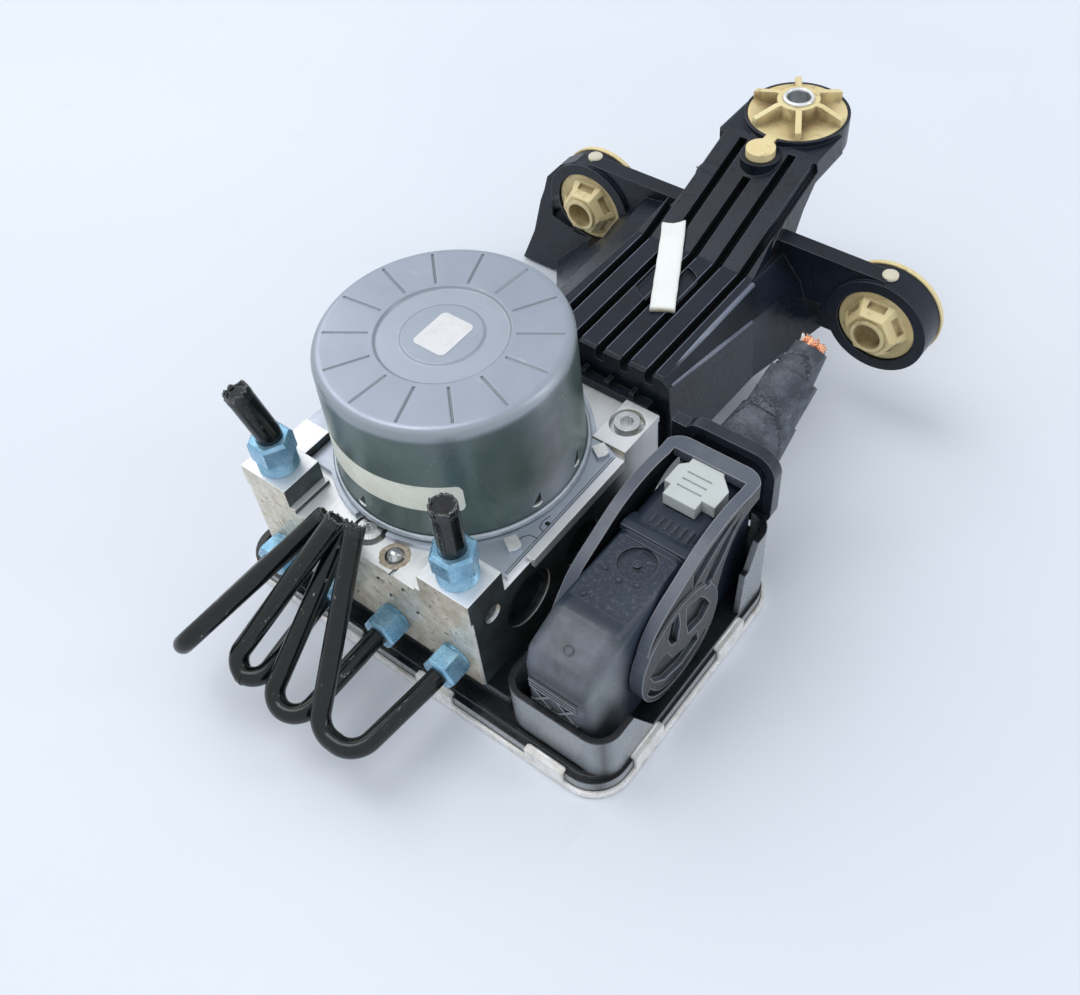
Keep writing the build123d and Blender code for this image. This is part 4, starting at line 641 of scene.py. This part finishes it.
def torn_edge(ragged, seed):
    """Moves the points of a pipe end's last two rows into rags of about that height."""
    smooth_rows = 2

    def jag(i, step):
        if step < smooth_rows:
            return (0, 0)
        up = spread(seed + i * 0.45, -0.3, 1.0) * ragged + spread(seed + i * 1.7, -0.35, 0.35)
        return (spread(seed + i * 0.7 + step, -0.35, 0.15), up)

    return jag


def torn_ends():
    """Ragged, crushed sleeve ends of the cut brake pipes, each round a dark disc of painted shade in its
    bore.
    """
    inlet, wheel = 4.2, 3.2
    # middle of the cut, direction out of the pipe, radius, height of the rags, seed
    ends = (
        ((37.0, -44.3, 88.4), (0, 0, 1), inlet, 1.0, 11),
        ((-41.0, -46.9, 88.4), (-4.0, -2.6, 17.0), inlet, 1.2, 27),
        ((-11.9, -50.0, 54.5), (16.8, 51.5, 21.5), wheel, 0.8, 43),
        ((-1.8, -52.9, 63.0), (16.2, 42.6, 40.0), wheel, 0.9, 59),
        ((-3.4, -48.8, 55.5), (-4.4, 48.2, 32.5), wheel, 0.8, 71),
        ((5.0, -52.1, 63.0), (-15.0, 43.4, 40.0), wheel, 0.9, 83),
    )
    sides, bore_sides = 40, 24
    shape = Shape()
    bore_shades = Shape()
    for origin, axis, radius, ragged, seed in ends:
        profile = [(radius - 0.02, -2.5), (radius + 0.05, -1.4), (radius + 0.05, 0.3), (radius - 0.5, 0.3)]
        rows = shape.revolve(profile, origin, axis, sides, torn_edge(ragged, seed))
        inner = shape.revolve([(radius - 0.45, 0.2), (radius - 0.9, 0.02)], origin, axis, sides)
        shape.bridge(rows[-1], inner[0])
        # painted shade: a dark disc inside each bore
        bore = [(radius * 0.52, 0.03), (radius * 0.45, 0.06), (0.05, 0.05)]
        bore_shades.revolve(bore, origin, axis, bore_sides)
    shape.finish("torn_sleeves", TORN, smooth=False)
    bore_shades.finish("bore_shade_discs", SHADE_PLASTIC)


def band_label():
    """Bare label wrapped round the can's front left, with rounded corners."""
    first, last, low, high, corner = -119.0, -45.5, 63.2, 73.9, 2.0
    back, face, mm_per_degree, steps = 0.02, 0.14, 0.7, 60
    shape = Shape()
    rows = []
    for i in range(steps + 1):
        angle = first + (last - first) * i / steps
        end = min(angle - first, last - angle) * mm_per_degree
        cut = corner - sqrt(max(0.0, corner**2 - (corner - min(corner, end)) ** 2))
        section = ((low + cut, back), (low + cut, face), (high - cut, face), (high - cut, back))
        rows.append(shape.ring([can_wall(angle, height, proud) for height, proud in section]))
    shape.skin(rows)
    shape.finish("can_label", BAND, smooth=False)


def stake_notches():
    """Stake marks punched in the can's wall above its rim: a dark plate of painted shade for the notch, over
    a bright burr.
    """
    corners = ((-1.9, 55.0), (1.9, 55.3), (1.9, 58.6))  # degrees from the middle, height
    arc = (-3.0, -1.5, 0.0, 1.5, 2.4)
    notches = Shape()
    burrs = Shape()
    for angle in (-98.0, -14.0, 14.0, 100.0, 190.0):
        # painted shade: a dark plate in the notch
        inner = notches.ring([can_wall(angle + turn, height, -0.02) for turn, height in corners])
        outer = notches.ring([can_wall(angle + turn, height, 0.10) for turn, height in corners])
        notches.bridge(inner, outer)
        notches.faces.append(tuple(outer))
        bead = [can_wall(angle + turn, 54.2 - 0.5 * cos(turn * 0.7), 0.05) for turn in arc]
        burrs.tube(bead, [0.10, 0.35, 0.42, 0.35, 0.10])
    notches.finish("stake_notches", SHADE_PLASTIC, smooth=False)
    burrs.finish("stake_burrs", BRIGHT)


def flange_details():
    """Fold lines, pressed loops and a pip of the flange as dark painted shade, and the bright lugs staked on
    it.
    """
    top = 49.5
    loops = (
        ((39.9, -23.0), (40.2, -19.6), (41.6, -17.8), (44.2, -17.5)),
        ((42.3, -8.6), (41.6, -11.6), (42.4, -14.0), (44.2, -14.6)),
    )
    # painted shade: dark fold lines, loops and pip
    lines = Shape()
    for x in (44.2, 44.95):
        lines.tube([(x, -33.0 + 0.5 * step, top) for step in range(109)], 0.11, 6)
    for loop in loops:
        lines.tube([(x, y, top) for x, y in loop], 0.14, 6)
    lines.revolve([(0.0, 49.58), (0.75, 49.58), (0.85, 49.48)], (43.4, -11.4, 0), segments=16)
    lines.finish("flange_lines", SHADE_PLASTIC)
    lug = ((-2.6, -2.1), (2.6, -2.1), (2.9, 0.3), (1.7, 2.2), (-2.6, 2.1))
    lug_low, lug_high, turn = 50.65, 50.95, radians(-32)
    lugs = Shape()
    for x, y in ((39.9, -23.7), (40.2, 20.4)):
        outline = [(x + a * cos(turn) - b * sin(turn), y + a * sin(turn) + b * cos(turn)) for a, b in lug]
        lugs.slab(outline, lug_low, lug_high)
    lugs.finish("staked_lugs", BRIGHT, smooth=False)


def rim_ring():
    """Bright rolled edge round the can's foot."""
    profile = [(40.35, 51.4), (40.75, 51.7), (41.2, 51.5), (41.62, 50.9), (41.6, 50.2)]
    shape = Shape()
    shape.revolve(profile, (0, 0, 0), segments=96)
    shape.finish("can_foot_ring", RING)


def grease_ring():
    """Stained countersink round the plugged drilling on the deck."""

    def uneven(i, step):
        return (spread(i * 0.8 + step * 3, -0.25, 0.25) if step else 0, 0)

    shape = Shape()
    shape.revolve([(3.3, 47.32), (4.2, 47.42), (5.0, 47.31)], (11.7, -46.0, 0), segments=40, jag=uneven)
    shape.finish("grease_ring", STAIN)


def bush_details():
    """Pale plugs on the ear rings and the bright lip of the top bush's sleeve."""
    plug = [(2.75, 62.0), (2.75, 62.9), (2.3, 63.25), (0.02, 63.35)]
    plugs = Shape()
    for x, y in ((-41.0, 129.6), (81.4, 128.6)):
        plugs.revolve(plug, (x, y, 0), segments=28)
    plugs.finish("ear_plugs", DOT)
    profile = [(4.3, 86.2), (4.35, 86.75), (4.7, 87.0), (5.2, 86.95), (5.6, 86.35)]
    lip = Shape()
    lip.revolve(profile, (20.5, 169.5, 0), segments=40)
    lip.finish("sleeve_lip", BRIGHT)


def bracket_ridges():
    """Rounded glossy ridges on the bracket's right side and the fine raised edges of its grooves, paler as
    painted highlights.
    """
    shape = Shape()
    shape.tube([(44.9, 50.0, 61.4), (45.1, 76.0, 61.5), (45.3, 101.0, 61.6)], [0.5, 0.95, 0.9], 12)
    shape.tube([(47.6, 49.0, 59.2), (48.7, 72.0, 55.8), (49.7, 94.0, 52.4)], [0.5, 0.8, 0.6], 12)
    shape.finish("bracket_ridge", RIDGE_HIGHLIGHT)
    half_groove, panel_z, first_y = 1.72, 61.98, 49.0
    lines = Shape()
    for x in (1.0, 10.75, 20.5, 30.25, 40.0):
        for side in (-half_groove, half_groove):
            lines.tube([(x + side, first_y + 0.5 * step, panel_z) for step in range(107)], 0.17, 6)
    lines.finish("groove_edges", RIDGE_HIGHLIGHT)


def foam_pad():
    """White foam strip across the bracket's grooves, with hollow-cut ends; it bends where the panel rises."""
    length, half_width, thickness, steps = 42.5, 4.2, 1.8, 34
    turn, rise = radians(28.5), tan(radians(18.5))
    panel_z, panel_bend_y = 62.0, 103.0
    centre = Vector((17.6, 91.4, 0))
    along, across = Vector((-sin(turn), cos(turn), 0)), Vector((cos(turn), sin(turn), 0))
    under = [(-4.2, 0.3), (-4.0, 0.0), (-2.0, 0.0), (0.0, 0.0), (2.0, 0.0), (4.0, 0.0), (4.2, 0.3)]
    over = [(4.2, 1.4), (3.85, thickness), (2.0, 1.84), (0.0, 1.86), (-2.0, 1.84), (-3.85, thickness),
            (-4.2, 1.4)]
    shape = Shape()
    rows = []
    for i in range(steps + 1):
        row = []
        for side, height in under + over:
            hollow = 1 - (side / half_width) ** 2
            place = length * (i / steps - 0.5) + hollow * (-1.0 * (i == steps) + 0.4 * (i == 0))
            wave = 0.08 * sin(0.5 * i + side) if height > 1 else 0
            point = centre + along * place + across * (side + 0.05 * sin(0.9 * i))
            base = panel_z + rise * max(0.0, point.y - panel_bend_y)
            row.append((point.x, point.y, base + height + wave))
        rows.append(shape.ring(row))
    shape.skin(rows, capped=True)
    pad = shape.finish("foam_pad", FOAM)
    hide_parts("foam_strip")


def hood_details():
    """Raised dots behind the hood's nose and the oval gate mark on it."""
    dot = [(0.85, 54.2), (0.85, 54.8), (0.55, 55.05), (0.02, 55.1)]
    dots = Shape()
    for x, y in ((69.2, -17.2), (74.9, -18.6), (80.2, -17.1), (69.3, -28.0)):
        dots.revolve(dot, (x, y, 0), segments=16)
    dots.finish("hood_dots", HOOD)
    turns = [k * pi / 10 for k in range(21)]
    loop = [(76.0 + 1.5 * cos(a), -44.2 + 1.25 * sin(a), 52.05 + 0.48 * sin(a)) for a in turns]
    mark = Shape()
    mark.tube(loop, 0.17, 6)
    mark.finish("gate_mark", HOOD)


def tape_flap():
    """Loose, torn tape along the harness stub's left side."""
    first, run, count = (69.2, 55.0, 52.0), (4.4, 19.0, 13.5), 28
    shape = Shape()
    rows = []
    for i in range(count):
        part = i / (count - 1)
        base = Vector(tuple(a + b * part for a, b in zip(first, run)))
        reach = spread(i * 1.9, 0.6, 3.2)
        lift = spread(i * 2.7 + 9, -0.9, 0.9)
        tip = base + Vector((-0.8 * reach, -0.3 * reach, 0.35 * reach + lift))
        under = tip + Vector((0.25, 0.1, -0.35))
        rows.append(shape.ring([base + Vector((1.2, 0, 1.4)), tip, under, base + Vector((1.2, 0, 0.2))]))
    shape.skin(rows)
    shape.finish("tape_flap", TAPE, smooth=False)


def loose_strands():
    """Cut copper strands and scraps of white insulation at the harness end."""
    count, bundle_radius, golden_angle = 64, 4.4, 2.399963
    end = Vector((80.0, 78.5, 70.0))
    along = Vector((1.8, 20.5, 14.0)).normalized()
    side = along.orthogonal().normalized()
    other = along.cross(side)
    wires = Shape()
    scraps = Shape()
    for i in range(count):
        turn = i * golden_angle
        reach = bundle_radius * sqrt((i + 0.5) / count)
        foot = end - along * 1.2 + side * (reach * cos(turn)) + other * (reach * sin(turn))
        bend = side * spread(i * 3.1, -0.9, 0.9) + other * spread(i * 4.3 + 2, -0.9, 0.9)
        length = spread(i * 1.7 + 5, 1.2, 3.4)
        route = [foot, foot + along * (0.6 * length), foot + along * length + bend]
        if i % 9 == 4:
            scraps.tube(route, [0.6, 0.7, 0.45], 6)
        else:
            wires.tube(route, 0.33, 6)
    wires.finish("loose_strands", COPPER)
    scraps.finish("insulation_scraps", LABEL)


def cover_crimps():
    """Rolled edge of each crimp tab that holds the cover on the housing."""
    places, radii, height = (-7.2, -6.4, 0, 6.4, 7.2), [0.2, 0.62, 0.66, 0.62, 0.2], 7.75
    shape = Shape()
    for x in (-8.0, 31.0, 75.0):
        for y in (-57.75, 36.85):
            shape.tube([(x + place, y, height) for place in places], radii)
    for y in (-36.0, 9.5):
        for x in (-57.85, 95.45):
            shape.tube([(x, y + place, height) for place in places], radii)
    shape.finish("cover_crimps", COVER)


inlet_threads()
wheel_threads()
torn_ends()
band_label()
stake_notches()
flange_details()
rim_ring()
grease_ring()
bush_details()
bracket_ridges()
foam_pad()
hood_details()
tape_flap()
loose_strands()
cover_crimps()


# ---------------------------------------------------------------- floor, light and camera
def floor():
    """Pale floor under the object, with faint marks on it."""
    bpy.ops.mesh.primitive_plane_add(size=6.0, location=(0, 0, -0.0002))
    plane = bpy.context.object
    plane.name = "floor"
    s = Shader("floor_paint")
    shade, pale, mark_grey = (0.74, 0.79, 0.86), (0.80, 0.84, 0.91), (0.62, 0.65, 0.70)
    marks = s.ramp(s.noise(30, 6, 0.7, (1, 0.3, 1)), 0.62, 0.72)
    tone = s.mix(s.ramp(s.noise(3, 3, 0.5)), shade, pale)
    s.colour(s.mix(s.times(marks, 0.18), tone, mark_grey))
    s.roughness(s.ramp(s.noise(12), first=0.45, last=0.6))
    plane.data.materials.append(s.material)


def area_light(name, place, target, size, power, colour=(1, 1, 1)):
    """A rectangular lamp at a place, turned to a target; metres and watts."""
    data = bpy.data.lights.new(name, "AREA")
    data.shape = "RECTANGLE"
    data.size, data.size_y = size
    data.energy = power
    data.color = colour
    lamp = bpy.data.objects.new(name, data)
    lamp.location = place
    lamp.rotation_euler = (Vector(target) - Vector(place)).to_track_quat("-Z", "Y").to_euler()
    bpy.context.scene.collection.objects.link(lamp)


def studio():
    """Pale room, a little darker toward the back, with a ceiling light, a window and a strip for ridges."""
    front_tone, back_tone = (0.80, 0.83, 0.87, 1), (0.66, 0.69, 0.74, 1)
    world = bpy.data.worlds.new("studio")
    bpy.context.scene.world = world
    world.use_nodes = True
    tree = world.node_tree
    background = tree.nodes["Background"]
    background.inputs["Strength"].default_value = 0.95
    way = tree.nodes.new("ShaderNodeTexCoord")
    split = tree.nodes.new("ShaderNodeSeparateXYZ")
    blend = tree.nodes.new("ShaderNodeMapRange")
    tone = tree.nodes.new("ShaderNodeMix")
    tone.data_type = "RGBA"
    tone.inputs[COLOUR_A].default_value = front_tone
    tone.inputs[COLOUR_B].default_value = back_tone
    blend.inputs["From Min"].default_value = 0.0
    blend.inputs["From Max"].default_value = 0.7
    tree.links.new(way.outputs["Generated"], split.inputs["Vector"])
    tree.links.new(split.outputs["Y"], blend.inputs["Value"])
    tree.links.new(blend.outputs["Result"], tone.inputs["Factor"])
    tree.links.new(tone.outputs[COLOUR_OUT], background.inputs["Color"])
    area_light("ceiling", (-0.85, -0.15, 2.3), (0, 0.03, 0.03), (1.0, 1.6), 14.0)
    area_light("window", (-2.6, 0.7, 2.2), (0, 0.03, 0.02), (2.0, 1.6), 15.0, (1.0, 0.99, 0.97))
    area_light("strip", (1.25, 0.75, 0.85), (0.05, 0.06, 0.04), (0.14, 1.1), 2.6)


def photo_camera():
    """Camera fitted to the photograph's frame, 1080 pixels wide."""
    frame_width = 1080
    focal_pixels = 1178.9
    place = Vector((190.63, -169.51, 331.88)) * MM
    turn = Vector((2.3797639, 0.7798580, -0.3741457))
    right, down, ahead = Matrix.Rotation(turn.length, 3, turn.normalized())
    data = bpy.data.cameras.new("photo_camera")
    data.sensor_fit = "HORIZONTAL"
    data.sensor_width = 36.0
    data.lens = focal_pixels / frame_width * data.sensor_width
    data.clip_start = 0.01
    camera = bpy.data.objects.new("photo_camera", data)
    axes = Matrix((right, -down, -ahead)).transposed()
    camera.matrix_world = Matrix.Translation(place) @ axes.to_4x4()
    bpy.context.scene.collection.objects.link(camera)
    bpy.context.scene.camera = camera


floor()
studio()
photo_camera()
bpy.context.scene.view_settings.view_transform = "Standard"
